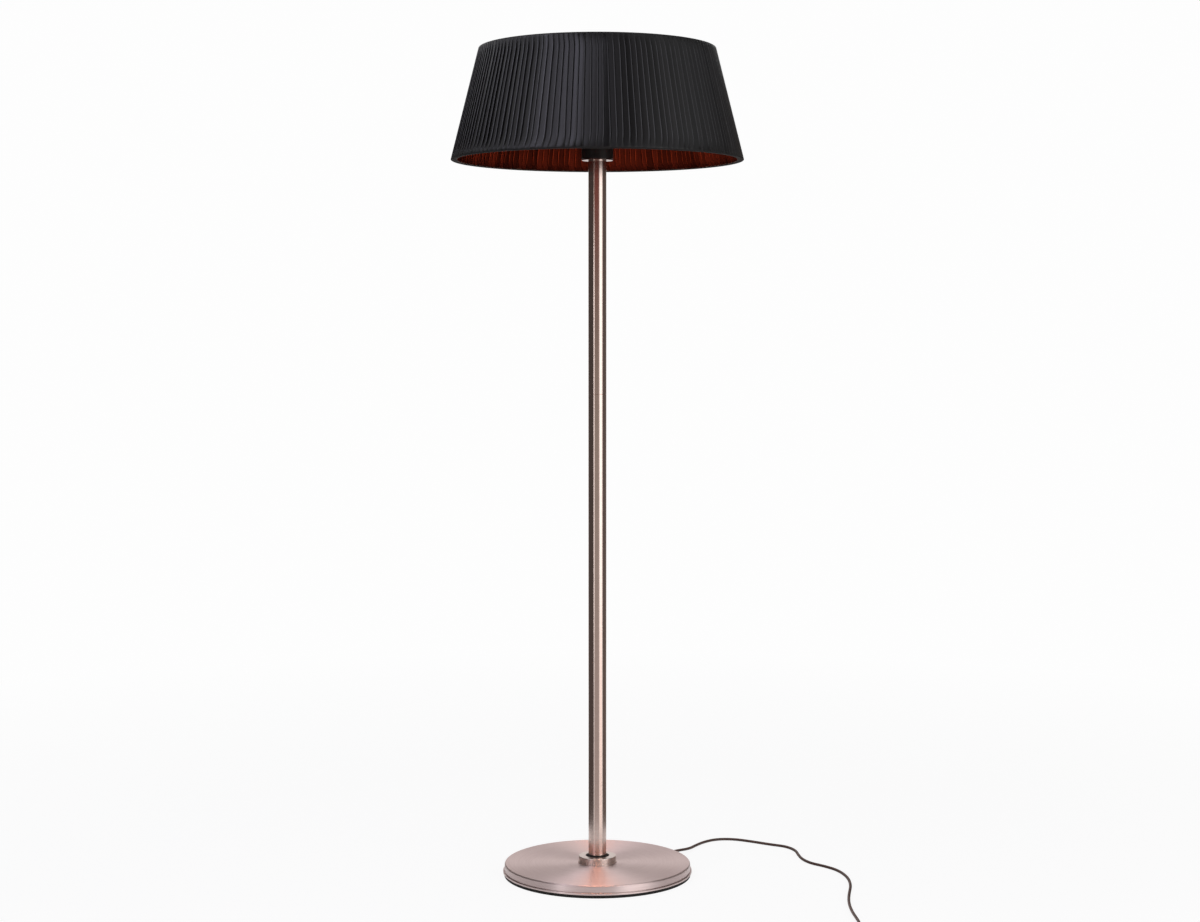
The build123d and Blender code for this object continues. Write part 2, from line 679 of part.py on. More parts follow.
def hub():
    """Black hub that sits on the pole and carries the heater and the switch."""
    body = disc(HUB_R, HUB_Z, PLATE_Z)
    body = chamfer(body.edges().group_by(Axis.Z)[0], HUB_CHAMFER)
    body -= disc(POLE_R + SLIP_FIT, HUB_Z, POLE_TOP)
    body -= disc(HUB_LEDGE_BORE_R, POLE_TOP, HUB_FLOOR)
    body -= disc(HUB_BORE_R, HUB_FLOOR, PLATE_Z)
    shell = disc(HUB_R - HUB_WALL / 2, PLATE_Z - BOSS_H, PLATE_Z)
    for place in boss_places():
        body += (place * disc(BOSS_R, PLATE_Z - BOSS_H, PLATE_Z)) & shell
    for place in boss_places():
        body -= place * disc(PAN_SCREW_R + THREAD_CLEAR, PLATE_Z - PAN_SCREW_L, PLATE_Z)
    for place in hub_screw_places():
        body -= place * lying(HUB_SCREW_R + THREAD_CLEAR, POLE_R, HUB_R, 0)
    for angle in wire_slot_angles():
        slot = block(3 * HUB_WALL, 4 * HUB_WALL, REFLECTOR_Z + FACE_GAP, PLATE_Z - PAN_T)
        body -= at_angle(HUB_R - HUB_WALL, angle) * slot
    facet_cut = Pos(0, FACET_Y + HUB_WALL, 0) * block(
        2 * HUB_R, 2 * HUB_WALL, SWITCH_Z - BEZEL_H / 2 - SWITCH_MARGIN, SWITCH_Z + BEZEL_H / 2 + SWITCH_MARGIN)
    window = Pos(0, HUB_R - HUB_WALL, 0) * block(
        SWITCH_W + FACE_GAP, 3 * HUB_WALL, SWITCH_Z - (SWITCH_H + FACE_GAP) / 2, SWITCH_Z + (SWITCH_H + FACE_GAP) / 2)
    return body - facet_cut - window


def hub_set_screws():
    """Set screws that lock the hub on the pole."""
    screw = lying(HUB_SCREW_R, HUB_R - HUB_SCREW_L, HUB_R - HUB_SCREW_SUNK, 0)
    screw -= lying(HUB_SCREW_R / 2, HUB_R - HUB_SCREW_SUNK - HUB_SCREW_HEX, HUB_R, 0)
    return [place * screw for place in hub_screw_places()]


def switch_body():
    """Switch case with its bezel, seated on the hub's flat."""
    bezel = Pos(0, FACET_Y + BEZEL_T / 2, 0) * block(
        BEZEL_W, BEZEL_T, SWITCH_Z - BEZEL_H / 2, SWITCH_Z + BEZEL_H / 2)
    bezel = fillet(bezel.edges().filter_by(Axis.Y), SWITCH_MARGIN)
    case = Pos(0, FACET_Y - SWITCH_DEPTH / 2, 0) * block(
        SWITCH_W, SWITCH_DEPTH, SWITCH_Z - SWITCH_H / 2, SWITCH_Z + SWITCH_H / 2)
    body = bezel + case
    well = Pos(0, FACET_Y + BEZEL_T - SWITCH_WELL / 2, 0) * block(
        ROCKER_W + 2 * ROCKER_CLEAR, SWITCH_WELL,
        SWITCH_Z - ROCKER_H / 2 - ROCKER_CLEAR, SWITCH_Z + ROCKER_H / 2 + ROCKER_CLEAR)
    pivot_hole = Pos(0, FACET_Y, SWITCH_Z) * lying(
        PIVOT_R + PIVOT_FIT, SWITCH_WALL - SWITCH_W / 2, SWITCH_W / 2 - SWITCH_WALL, 0)
    return body - well - pivot_hole


def switch_rocker():
    """Dished rocker on its cross pivot, shown switched off, with its upper end out."""
    face_y = FACET_Y + BEZEL_T + ROCKER_OUT
    half = ROCKER_H / 2
    edge_y = face_y + ROCKER_R - math.sqrt(ROCKER_R ** 2 - half ** 2)
    arc = ThreePointArc((0, edge_y, SWITCH_Z - half), (0, face_y, SWITCH_Z), (0, edge_y, SWITCH_Z + half))
    low = Line((0, edge_y, SWITCH_Z + half), (0, FACET_Y - PIVOT_R, SWITCH_Z + PIVOT_R * 2))
    back = Line((0, FACET_Y - PIVOT_R, SWITCH_Z + PIVOT_R * 2), (0, FACET_Y - PIVOT_R, SWITCH_Z - PIVOT_R * 2))
    high = Line((0, FACET_Y - PIVOT_R, SWITCH_Z - PIVOT_R * 2), (0, edge_y, SWITCH_Z - half))
    key = extrude(make_face([arc, low, back, high]), amount=ROCKER_W / 2, dir=(1, 0, 0), both=True)
    pivot_l = SWITCH_W / 2 - SWITCH_WALL - ROCKER_CLEAR / 2
    key += Pos(0, FACET_Y, SWITCH_Z) * lying(PIVOT_R, -pivot_l, pivot_l, 0)
    tilt = Pos(0, FACET_Y, SWITCH_Z) * Rot(-ROCKER_THROW / 2, 0, 0) * Pos(0, -FACET_Y, -SWITCH_Z)
    return tilt * key


def terminal_block():
    """Ceramic terminal block on the hub's ledge."""
    y = BLOCK_D / 2 + BLOCK_OFF - HUB_BORE_R
    top = HUB_FLOOR + BLOCK_H
    body = Pos(0, y, 0) * block(BLOCK_W, BLOCK_D, HUB_FLOOR, top)
    for i in range(BLOCK_SCREWS):
        x = (i - (BLOCK_SCREWS - 1) / 2) * BLOCK_SPACING
        body -= Pos(x, y, 0) * disc(BLOCK_SCREW_R, top - BLOCK_SCREW_H, top)
    return body


# ------------------------------------------------------------------ heater
def guard_screw_places():
    """Places of the guard's screws, in the pan's lip."""
    return [at_angle(PAN_RIM_R - PAN_LIP_SCREW, a) for a in around(GUARD_SCREWS, 45.0)]


def spacer_places():
    """Places of the spacers between pan and reflector."""
    return [at_angle(SPACER_CIRCLE_R, a) for a in around(SPACERS, 45.0)]


def heater_pan():
    """Pressed steel pan over the heater, with a lip turned in for the guard."""
    pan = turned([
        (0, PLATE_Z), (PAN_TOP_R, PLATE_Z),
        (PAN_RIM_R - PAN_T, PAN_RIM_Z + PAN_T), (PAN_RIM_R - PAN_LIP, PAN_RIM_Z + PAN_T),
        (PAN_RIM_R - PAN_LIP, PAN_RIM_Z), (PAN_RIM_R, PAN_RIM_Z),
        (PAN_TOP_R + PAN_T, PLATE_TOP), (0, PLATE_TOP),
    ])
    pan -= disc(STEM_R + SLIP_FIT, PLATE_Z, PLATE_TOP)
    for place in boss_places():
        pan -= place * disc(PAN_SCREW_R + BOLT_CLEAR, PLATE_Z, PLATE_TOP)
    for place in spacer_places():
        pan -= place * disc(PAN_SCREW_R + BOLT_CLEAR, PLATE_Z, PLATE_TOP)
    for place in guard_screw_places():
        pan -= place * disc(GUARD_SCREW_R + THREAD_CLEAR, PAN_RIM_Z, PAN_RIM_Z + PAN_T)
    return pan


def pan_screws():
    """Screws through the pan's plate into the hub's bosses."""
    shank = disc(PAN_SCREW_R, PLATE_TOP - PAN_SCREW_L, PLATE_TOP)
    head = disc(2 * PAN_SCREW_R, PLATE_TOP, PLATE_TOP + SCREW_HEAD_H)
    head = fillet(head.edges().group_by(Axis.Z)[-1], SCREW_HEAD_H / 3)
    return [place * (shank + head) for place in boss_places()]


def reflector():
    """Polished dish over the quartz rings."""
    hole = HUB_R + FACE_GAP * 2
    stations = [REFLECTOR_FLAT_R + (REFLECTOR_R - REFLECTOR_FLAT_R) * i / 3 for i in (1, 2, 3)]
    first = (REFLECTOR_FLAT_R, 0, reflector_z(REFLECTOR_FLAT_R))
    lower = Spline([first, *[(r, 0, reflector_z(r)) for r in stations]])
    upper = Pos(0, 0, REFLECTOR_T) * lower
    flat = Polyline(first, (hole, 0, first[2]), (hole, 0, first[2] + REFLECTOR_T), upper @ 0)
    rim = Line(lower @ 1, upper @ 1)
    dish = revolve(make_face([lower, flat, upper, rim]), Axis.Z)
    for place in spacer_places():
        dish -= place * disc(PAN_SCREW_R + BOLT_CLEAR, RING_Z, PLATE_Z)
    for radius, angle, _, _ in cap_places():
        dish -= at_angle(radius, angle) * disc(2 * LEAD_WIRE_R, RING_Z, PLATE_Z)
    return dish


def reflector_spacers():
    """Tube spacers that hold the reflector off the pan."""
    spacer = ring(SPACER_R, PAN_SCREW_R + BOLT_CLEAR, REFLECTOR_Z, PLATE_Z)
    return [place * spacer for place in spacer_places()]


def reflector_screws():
    """Screws from below through reflector, spacers and plate."""
    low = REFLECTOR_Z - REFLECTOR_T
    screw = disc(PAN_SCREW_R, low, PLATE_TOP + PAN_T) + disc(2 * PAN_SCREW_R, low - SCREW_HEAD_H, low)
    return [place * screw for place in spacer_places()]


def cap_places():
    """Radius and angle of each end cap, with its ring's opening and its side of it."""
    places = []
    for radius, opening in QUARTZ_RINGS:
        aside = (360.0 - RING_SPAN) / 2 - math.degrees((CAP_L / 2 - CAP_SLEEVE) / radius)
        for side in (1, -1):
            places.append((radius, opening + side * aside, opening, side))
    return places


def partial_ring(section, radius, opening):
    """Ring of a section about Z, open at one side."""
    start = opening + (360.0 - RING_SPAN) / 2
    face = Pos(radius, 0, RING_Z) * Rot(90, 0, 0) * section
    return Rot(0, 0, start) * revolve(face, Axis.Z, RING_SPAN)


def quartz_tubes():
    """The two open rings of quartz glass tube."""
    section = Circle(QUARTZ_R) - Circle(QUARTZ_R - QUARTZ_WALL)
    return [partial_ring(section, *place) for place in QUARTZ_RINGS]


def heating_wires():
    """Wound heating wires in the tubes, each as one plain bar."""
    return [partial_ring(Circle(GLOW_WIRE_R), *place) for place in QUARTZ_RINGS]


def tube_end_caps():
    """Ceramic caps on the ends of the tubes, seated under the reflector."""
    caps = []
    for radius, angle, opening, _ in cap_places():
        top = reflector_z(radius + CAP_W / 2) - FACE_GAP
        cap = block(CAP_W, CAP_L, RING_Z - CAP_W / 2, top)
        cap = fillet(cap.edges().filter_by(Axis.Z), CAP_FILLET)
        bore = partial_ring(Circle(QUARTZ_R + FACE_GAP), radius, opening)
        caps.append(at_angle(radius, angle) * cap - bore)
    return caps


def tube_clips():
    """Spring clips that hold the tubes under the reflector."""
    clips = []
    for radius, opening in QUARTZ_RINGS:
        for i in range(CLIPS):
            angle = opening + 360.0 / (CLIPS + 1) * (i + 1)
            grip = QUARTZ_R + FACE_GAP
            top = reflector_z(radius + CLIP_W / 2) - FACE_GAP
            shell = Circle(grip + CLIP_T) - Circle(grip)
            shell -= Pos(0, -grip) * Rectangle(grip * 1.4, grip * 1.4)
            strap = extrude(Rot(90, 0, 0) * shell, amount=CLIP_W / 2, both=True)
            post = Pos(0, 0, grip + CLIP_T / 2) * Box(
                CLIP_W, CLIP_W, top - RING_Z - grip - CLIP_T / 2, align=(Align.CENTER, Align.CENTER, Align.MIN))
            clips.append(at_angle(radius, angle, RING_Z) * (strap + post))
    return clips


def guard_grille():
    """Flat guard under the rings: concentric bars on spokes."""
    low = PAN_RIM_Z - GUARD_T
    rim_outer = PAN_RIM_R - PAN_T
    grille = ring(rim_outer, rim_outer - GUARD_RIM_W, low, PAN_RIM_Z)
    grille += ring(GUARD_INNER_R + GUARD_BAR, GUARD_INNER_R, low, PAN_RIM_Z)
    step = (rim_outer - GUARD_RIM_W - GUARD_INNER_R) / (GUARD_RINGS + 1)
    for i in range(GUARD_RINGS):
        radius = GUARD_INNER_R + step * (i + 1)
        grille += ring(radius + GUARD_BAR, radius, low, PAN_RIM_Z)
    spoke_l = rim_outer - GUARD_RIM_W / 2 - GUARD_INNER_R - GUARD_BAR / 2
    middle = GUARD_INNER_R + GUARD_BAR / 2 + spoke_l / 2
    for angle in around(SPOKES, 22.5):
        grille += at_angle(middle, angle) * block(spoke_l, GUARD_BAR, low, PAN_RIM_Z)
    for place in guard_screw_places():
        grille -= place * disc(GUARD_SCREW_R + BOLT_CLEAR, low, PAN_RIM_Z)
    return grille


def guard_screws():
    """Screws from below through the guard into the pan's lip."""
    low = PAN_RIM_Z - GUARD_T
    screw = disc(GUARD_SCREW_R, low, low + GUARD_SCREW_L) + disc(2 * GUARD_SCREW_R, low - SCREW_HEAD_H, low)
    return [place * screw for place in guard_screw_places()]


def thermal_cutout():
    """Thermal cut-out on the underside of the pan's plate."""
    body = disc(CUTOUT_R, PLATE_Z - CUTOUT_H, PLATE_Z)
    return at_angle(CUTOUT_AT, 0) * body


def heater_leads():
    """High-temperature wires from the hub to the end caps, above the reflector."""
    leads = []
    level = REFLECTOR_Z + LEAD_WIRE_UP
    for radius, angle, opening, side in cap_places():
        inner = polar(HUB_BORE_R / 2, opening + side * 20.0, level)
        corner = polar(radius, angle, level)
        top = reflector_z(radius + CAP_W / 2) - FACE_GAP
        end = (corner[0], corner[1], top)
        path = FilletPolyline(inner, corner, end, radius=3 * LEAD_WIRE_R)
        leads.append(tube_along(path, LEAD_WIRE_R))
    return leads


# ------------------------------------------------------------------ shade
def shade_ribbon():
    """Outer run of the wound ribbon: fine upright pleats, folded in over both rims."""
    skin = pleated(SHADE_BOTTOM_Z, TOTAL_H, 0, PLEAT_DEPTH)
    low = SHADE_BOTTOM_Z + HEM_T
    high = TOTAL_H - HEM_T
    skin -= pleated(low, high, RIBBON_T, PLEAT_DEPTH)
    mouth = Cone(
        shade_r(SHADE_BOTTOM_Z) - WALL_IN, shade_r(TOTAL_H) - WALL_IN, SHADE_H,
        align=(Align.CENTER, Align.CENTER, Align.MIN))
    return skin - Pos(0, 0, SHADE_BOTTOM_Z) * mouth


def shade_lining():
    """Smooth stiff wall that the ribbon is wound over."""
    low = SHADE_BOTTOM_Z + HEM_T + FACE_GAP
    high = TOTAL_H - HEM_T - FACE_GAP
    return cone_wall(low, high, LINING_IN, LINING_T)


def shade_inner_run():
    """Inner run of the ribbon, pleated more flatly, ending under the spider's arms."""
    low = SHADE_BOTTOM_Z + HEM_T + FACE_GAP
    slope = SPIDER_DROP / (shade_r(RING_TOP_Z) - WIRE_IN)
    high = RING_TOP_Z - WIRE_R - slope * (WALL_IN - WIRE_IN) - 3 * FACE_GAP
    skin = pleated(low, high, INNER_RUN_IN, INNER_PLEAT_DEPTH)
    return skin - pleated(low - RIBBON_T, high + RIBBON_T, INNER_RUN_IN + RIBBON_T, INNER_PLEAT_DEPTH)


def ring_r(z):
    """Centre-line radius of the frame's wire at height z."""
    return shade_r(z) - WIRE_IN


def frame_ring(z, wire):
    """Ring of the shade's frame at height z, with the wire's radius given."""
    return Pos(0, 0, z) * Torus(ring_r(z), wire)


def shade_bottom_ring():
    """Lower wire ring of the shade's frame."""
    return frame_ring(RING_BOTTOM_Z, WIRE_R)


def shade_top_ring():
    """Upper wire ring, which the spider's arms carry."""
    return frame_ring(RING_TOP_Z, WIRE_R)


def shade_struts():
    """Upright wires between the two rings."""
    low = RING_BOTTOM_Z + WIRE_R + FACE_GAP
    high = RING_TOP_Z - WIRE_R - FACE_GAP
    angles = around(STRUTS, 180.0 / STRUTS)
    return [rod(polar(ring_r(low), a, low), polar(ring_r(high), a, high), STRUT_R) for a in angles]


def shade_spider():
    """Arms that slope down from the top ring to an eye over the stem."""
    spider = disc(SPIDER_EYE_R, EYE_Z - SPIDER_EYE_T / 2, EYE_Z + SPIDER_EYE_T / 2)
    for angle in around(ARMS):
        inner = polar(SPIDER_EYE_R - WIRE_R, angle, EYE_Z)
        spider += rod(inner, polar(ring_r(RING_TOP_Z), angle, RING_TOP_Z), WIRE_R)
    bore = disc(STEM_R + BOLT_CLEAR, EYE_Z - 2 * SPIDER_EYE_T, EYE_Z + 2 * SPIDER_EYE_T)
    return spider - bore - frame_ring(RING_TOP_Z, WIRE_R + FACE_GAP)


def shade_stem():
    """Threaded stem that stands on the pan and carries the shade."""
    stem = disc(STEM_R, PLATE_Z - STEM_UNDER, EYE_Z + SPIDER_EYE_T / 2 + STEM_OVER)
    return chamfer(stem.edges().group_by(Axis.Z)[-1], STEM_R / 6)


def stem_nuts():
    """Hexagon nuts under and over the pan's plate, and under the spider's eye."""
    levels = (PLATE_Z - NUT_T, PLATE_TOP, EYE_Z - SPIDER_EYE_T / 2 - NUT_T)
    nuts = []
    for z in levels:
        nut = extrude(Pos(0, 0, z) * RegularPolygon(NUT_FLATS_R, 6), amount=NUT_T)
        nuts.append(nut - disc(STEM_R + THREAD_CLEAR, z, z + NUT_T))
    return nuts


def finial_nut():
    """Domed nut that holds the shade down on its nut."""
    low = EYE_Z + SPIDER_EYE_T / 2
    nut = disc(FINIAL_R, low, low + FINIAL_H)
    nut = fillet(nut.edges().group_by(Axis.Z)[-1], FINIAL_R * 0.7)
    return nut - disc(STEM_R + THREAD_CLEAR, low, low + STEM_OVER)


# ------------------------------------------------------------------ mains lead outside
def cord_gland():
    """Snap-in strain relief with a tapered tail, in the rim of the base."""
    inner = BASE_R - GLAND_INSIDE
    skirt = COVER_BORE_R - FACE_GAP
    barb = skirt - GLAND_BARB_L
    flange = BASE_R + FACE_GAP
    tail = BASE_R + GLAND_L
    outline = [
        (inner, 0), (inner, GLAND_NECK_R - GLAND_LEAD_IN), (barb - GLAND_BARB_SLOPE, GLAND_NECK_R),
        (barb, GLAND_COLLAR_R), (skirt, GLAND_COLLAR_R), (skirt, GLAND_NECK_R), (flange, GLAND_NECK_R),
        (flange, GLAND_FLANGE_R), (flange + GLAND_FLANGE_T, GLAND_FLANGE_R),
        (flange + GLAND_FLANGE_T, GLAND_NECK_R), (tail, GLAND_TAIL_R), (tail, 0),
    ]
    face = make_face(Polyline([(x, 0, z) for x, z in outline], close=True))
    return at_angle(0, LEAD_ANGLE, LEAD_Z) * revolve(face, Axis.X)


def cord_run():
    """Mains lead lying on the floor, from the gland to the coil."""
    start = polar(BASE_R + GLAND_L, LEAD_ANGLE, LEAD_Z)
    end = (*COIL_START, COIL_Z)
    path, radii = fold(CORD_POINTS, start, end)
    solid = tube_along(path, CORD_R)
    report("cord_run", solid, path, radii)
    return solid


def coil_stations():
    """Half-turn stations of the coil as (sideways offset, height): in, a climb, and out again."""
    radius = COIL_OUTER_R
    side = -1
    stations = [(side * radius, COIL_Z)]
    for _ in range(COIL_IN):
        radius -= COIL_PITCH / 2
        side = -side
        stations.append((side * radius, COIL_Z))
    side = -side
    stations.append((side * radius, COIL_Z + COIL_LAYER))
    for _ in range(COIL_OUT):
        radius += COIL_PITCH / 2
        side = -side
        stations.append((side * radius, COIL_Z + COIL_LAYER))
    return stations


def coil_path():
    """Biarcs through the coil's stations, with a straight end of one cord diameter at each end."""
    centre_x = COIL_START[0] + COIL_OUTER_R
    centre_y = COIL_START[1] - 2 * CORD_R
    stations = [Vector(centre_x + x, centre_y, z) for x, z in coil_stations()]
    edges = [Line(stations[0] + Vector(0, 2 * CORD_R, 0), stations[0])]
    for here, there in zip(stations, stations[1:]):
        heading = -1 if here.X < there.X else 1
        reach = (there - here).length / 2
        joint = (here + there) / 2 + Vector(0, heading * reach, 0)
        edges.append(TangentArc(here, joint, tangent=(0, heading, 0)))
        edges.append(TangentArc(joint, there, tangent=edges[-1] % 1))
    edges.append(Line(stations[-1], stations[-1] - Vector(0, 2 * CORD_R, 0)))
    return Wire(edges)


def least_gap(path, radius, samples=900):
    """Least gap of a coiled tube to itself, on points further apart along it than half a turn."""
    points = [path @ (i / samples) for i in range(samples + 1)]
    step = path.length / samples
    apart = int(math.pi * COIL_OUTER_R / 2 / step)
    least = 1e9
    for i, here in enumerate(points):
        for there in points[i + apart:]:
            least = min(least, (here - there).length)
    return least - 2 * radius


def cord_coil():
    """The rest of the lead as a flat coil in two layers."""
    path = coil_path()
    solid = tube_along(path, CORD_R)
    report("cord_coil", solid, path)
    print(f"cord_coil: least gap to itself {least_gap(path, CORD_R):.2f} mm")
    return solid


def cord_tie():
    """Flat strap round the coil's bundle, on the side away from the lead."""
    outer = COIL_OUTER_R - COIL_PITCH / 2 + CORD_R
    inner_edge = COIL_OUTER_R - COIL_PITCH * COIL_IN / 2 - CORD_R
    inner = math.sqrt(inner_edge ** 2 - (TIE_W / 2) ** 2)
    width = outer - inner + 4 * FACE_GAP
    height = COIL_LAYER + 2 * CORD_R + 2 * FACE_GAP
    band = RectangleRounded(width + 2 * TIE_T, height + 2 * TIE_T, CORD_R + TIE_T)
    band -= RectangleRounded(width, height, CORD_R)
    strap = extrude(Rot(90, 0, 0) * band, amount=TIE_W / 2, both=True)
    x = COIL_START[0] + COIL_OUTER_R + (outer + inner) / 2
    y = COIL_START[1] - 2 * CORD_R
    return Pos(x, y, COIL_Z + COIL_LAYER / 2) * strap


def cord_tail():
    """Short end of the lead between the coil and the mains plug."""
    path_start = coil_path() @ 1
    end = (*PLUG_AT, PLUG_Z)
    path, radii = fold(TAIL_POINTS, tuple(path_start), end)
    solid = tube_along(path, CORD_R)
    report("cord_tail", solid, path, radii)
    return solid


def plug_body():
    """Round moulded mains plug with a tapered boot, lying on its side and facing -Y."""
    face_at = BOOT_L + MAINS_PLUG_L
    grip = face_at - PLUG_GRIP_L
    outline = [
        (0, 0), (0, BOOT_TIP_R), (BOOT_L, BOOT_ROOT_R), (BOOT_L, MAINS_PLUG_NECK_R - PLUG_SHOULDER),
        (BOOT_L + PLUG_SHOULDER, MAINS_PLUG_NECK_R), (grip - PLUG_STEP, MAINS_PLUG_R - PLUG_BEVEL),
        (grip, MAINS_PLUG_R), (face_at - PLUG_BEVEL, MAINS_PLUG_R), (face_at, MAINS_PLUG_R - PLUG_BEVEL), (face_at, 0),
    ]
    face = make_face(Polyline([(x, 0, z) for x, z in outline], close=True))
    return plug_place() * revolve(face, Axis.X)


def plug_place():
    """Place of the plug: local X runs from the boot's tip towards -Y."""
    return Pos(*PLUG_AT, PLUG_Z) * Rot(0, 0, -90)


def plug_pins():
    """Two round pins."""
    start = BOOT_L + MAINS_PLUG_L
    pin = lying(PIN_R, start, start + PIN_L, 0)
    pin = fillet(pin.edges().group_by(Axis.X)[-1], PIN_R * 0.6)
    return [plug_place() * Pos(0, side * PIN_SPACING / 2, 0) * pin for side in (-1, 1)]


# ------------------------------------------------------------------ export
PIECES = [
    base_cover, base_weight, floor_pad, foot_bolts, foot_washers, foot_flange, foot_set_screws,
    base_collar, collar_gasket, tip_switch_body, tip_switch_plunger, tip_switch_spring,
    supply_lead, tip_switch_lead, lower_pole, upper_pole, joiner_socket, joiner_plug,
    pole_washer, hub, hub_set_screws, switch_body, switch_rocker, terminal_block,
    heater_pan, pan_screws, reflector, reflector_spacers, reflector_screws, quartz_tubes,
    heating_wires, tube_end_caps, tube_clips, guard_grille, guard_screws, thermal_cutout,
    heater_leads, shade_ribbon, shade_lining, shade_inner_run, shade_bottom_ring, shade_top_ring,
    shade_struts, shade_spider, shade_stem, stem_nuts, finial_nut, cord_gland, cord_run, cord_coil,
    cord_tie, cord_tail, plug_body, plug_pins,
]

os.makedirs("parts", exist_ok=True)
for piece in PIECES:
    made = piece()
    solids = made if isinstance(made, list) else [made]
    flat = [solid for item in solids for solid in item.solids()]
    node = flat[0] if len(flat) == 1 else Compound(children=flat)
    export_step(node, f"parts/{piece.__name__}.step")
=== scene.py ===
# %% [markdown]
# # Dressing a shaded infrared heater
#
# The heater looks like a standing lamp: a weighted round base of brushed steel, a slim pole of two
# tubes, and a conical shade wound with black ribbon. Two rings of quartz tube glow red under the shade.
#
# The construction comes in finished, as one mesh for each piece, in metres, with +Z up and the
# origin on the floor under the pole. This script sets the camera and lays the mains lead first,
# because the lead has to leave the picture in the right place. Then come the floor and the lamps,
# the finishes of all the pieces, the glowing wire and, last, the wound ribbon.

# %% Load the construction
import math

import bmesh
import bpy
import numpy as np
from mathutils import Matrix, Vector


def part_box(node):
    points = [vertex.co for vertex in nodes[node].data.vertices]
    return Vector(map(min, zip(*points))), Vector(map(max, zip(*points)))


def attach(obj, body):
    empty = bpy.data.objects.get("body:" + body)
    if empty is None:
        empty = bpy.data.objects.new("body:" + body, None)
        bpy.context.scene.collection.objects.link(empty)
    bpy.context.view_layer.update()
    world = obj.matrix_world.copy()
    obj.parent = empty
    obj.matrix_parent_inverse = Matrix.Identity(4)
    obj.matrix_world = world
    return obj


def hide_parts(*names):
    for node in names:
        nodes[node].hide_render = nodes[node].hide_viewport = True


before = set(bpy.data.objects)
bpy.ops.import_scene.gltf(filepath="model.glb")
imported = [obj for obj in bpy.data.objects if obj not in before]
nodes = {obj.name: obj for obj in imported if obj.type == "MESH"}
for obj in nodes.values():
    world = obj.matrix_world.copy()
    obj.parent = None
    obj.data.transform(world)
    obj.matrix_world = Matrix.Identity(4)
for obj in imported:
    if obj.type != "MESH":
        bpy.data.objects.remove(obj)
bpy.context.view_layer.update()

MM = 0.001

# %% [markdown]
# ## The camera
#
# The camera stands where the photograph was taken from. Its place and lens could be found by eye,
# but here they were worked out from the outlines of the base and of the shade, which leaves nothing
# to guess. It is a long lens at chest height, tilted a little down, so that the shade is seen from
# slightly below and the base from well above.

# %% Camera
CAMERA_AT = (0.0055, -4.3735, 1.1422)
CAMERA_TILT_DOWN = 3.46     # degrees
LENS_MM = 62.63
SENSOR_MM = 36.0

camera = bpy.data.objects.new("camera", bpy.data.cameras.new("camera"))
camera.data.lens = LENS_MM
camera.data.sensor_width = SENSOR_MM
camera.data.sensor_fit = "HORIZONTAL"
camera.location = CAMERA_AT
camera.rotation_euler = (math.radians(90.0 - CAMERA_TILT_DOWN), 0.0, 0.0)
bpy.context.scene.collection.objects.link(camera)
bpy.context.scene.camera = camera
bpy.context.scene.view_settings.view_transform = "Standard"
print("camera at", CAMERA_AT, "lens", LENS_MM)

# %% [markdown]
# ## Small helpers
#
# Every finish below is a Principled shader whose colour, roughness and relief follow a pattern. So
# the helpers turn a screen colour to light, add a node in one line, start a material, feed its
# sockets, stretch a pattern between two tones, and make noise of a size in metres. Nodes could be
# placed by hand in the editor, but a few lines of text are easier to read, to compare and to reuse.

# %% Colours, nodes and materials
MIDDLE = (0.35, 0.65)       # noise keeps near its middle: most of its values lie between these


def linear(colour):
    """sRGB hex to linear light: a channel up to 0.04045 is divided by 12.92, the rest follows a 2.4 power."""
    channels = np.array([int(colour[i:i + 2], 16) for i in (1, 3, 5)]) / 255.0
    light = np.where(channels <= 0.04045, channels / 12.92, ((channels + 0.055) / 1.055) ** 2.4)
    return (*light.tolist(), 1.0)


def add(tree, kind, settings=None, links=None):
    """Add a node: settings fill its properties or its sockets, links join its sockets to what feeds them."""
    node = tree.nodes.new(kind)
    for name, value in (settings or {}).items():
        if isinstance(name, int) or name in node.inputs:
            node.inputs[name].default_value = value
        else:
            setattr(node, name, value)
    for name, source in (links or {}).items():
        tree.links.new(source, node.inputs[name])
    return node


def new_finish(name, colour, roughness, metallic=0.0, **more):
    """A material with one shader. What else is set is named as the shader's sockets are, _ for a space."""
    material = bpy.data.materials.new(name)
    material.use_nodes = True
    tree = material.node_tree
    shader = tree.nodes["Principled BSDF"]
    shader.inputs["Base Color"].default_value = linear(colour)
    shader.inputs["Roughness"].default_value = roughness
    shader.inputs["Metallic"].default_value = metallic
    for socket, value in more.items():
        shader.inputs[socket.replace("_", " ")].default_value = value
    return material, tree, shader


def feed(tree, shader, **patterns):
    """Let patterns drive the shader's sockets, which are named with _ for a space."""
    for socket, pattern in patterns.items():
        tree.links.new(pattern, shader.inputs[socket.replace("_", " ")])


def between(tree, pattern, low, high, start=0.0, end=1.0):
    """Run from one number or hex colour to another while the pattern goes from start to end."""
    settings = {"From Min": start, "From Max": end}
    if not isinstance(low, str):
        settings.update({"To Min": low, "To Max": high})
    share = add(tree, "ShaderNodeMapRange", settings, {"Value": pattern}).outputs[0]
    if not isinstance(low, str):
        return share
    tones = {"data_type": "RGBA", 6: linear(low), 7: linear(high)}
    return add(tree, "ShaderNodeMix", tones, {0: share}).outputs[2]


def speckle(tree, size):
    """Even noise in the piece's own space, with marks of about this size in metres."""
    place = add(tree, "ShaderNodeTexCoord").outputs["Object"]
    settings = {"Scale": 1.0 / size, "Detail": 2.0}
    return add(tree, "ShaderNodeTexNoise", settings, {"Vector": place}).outputs[0]


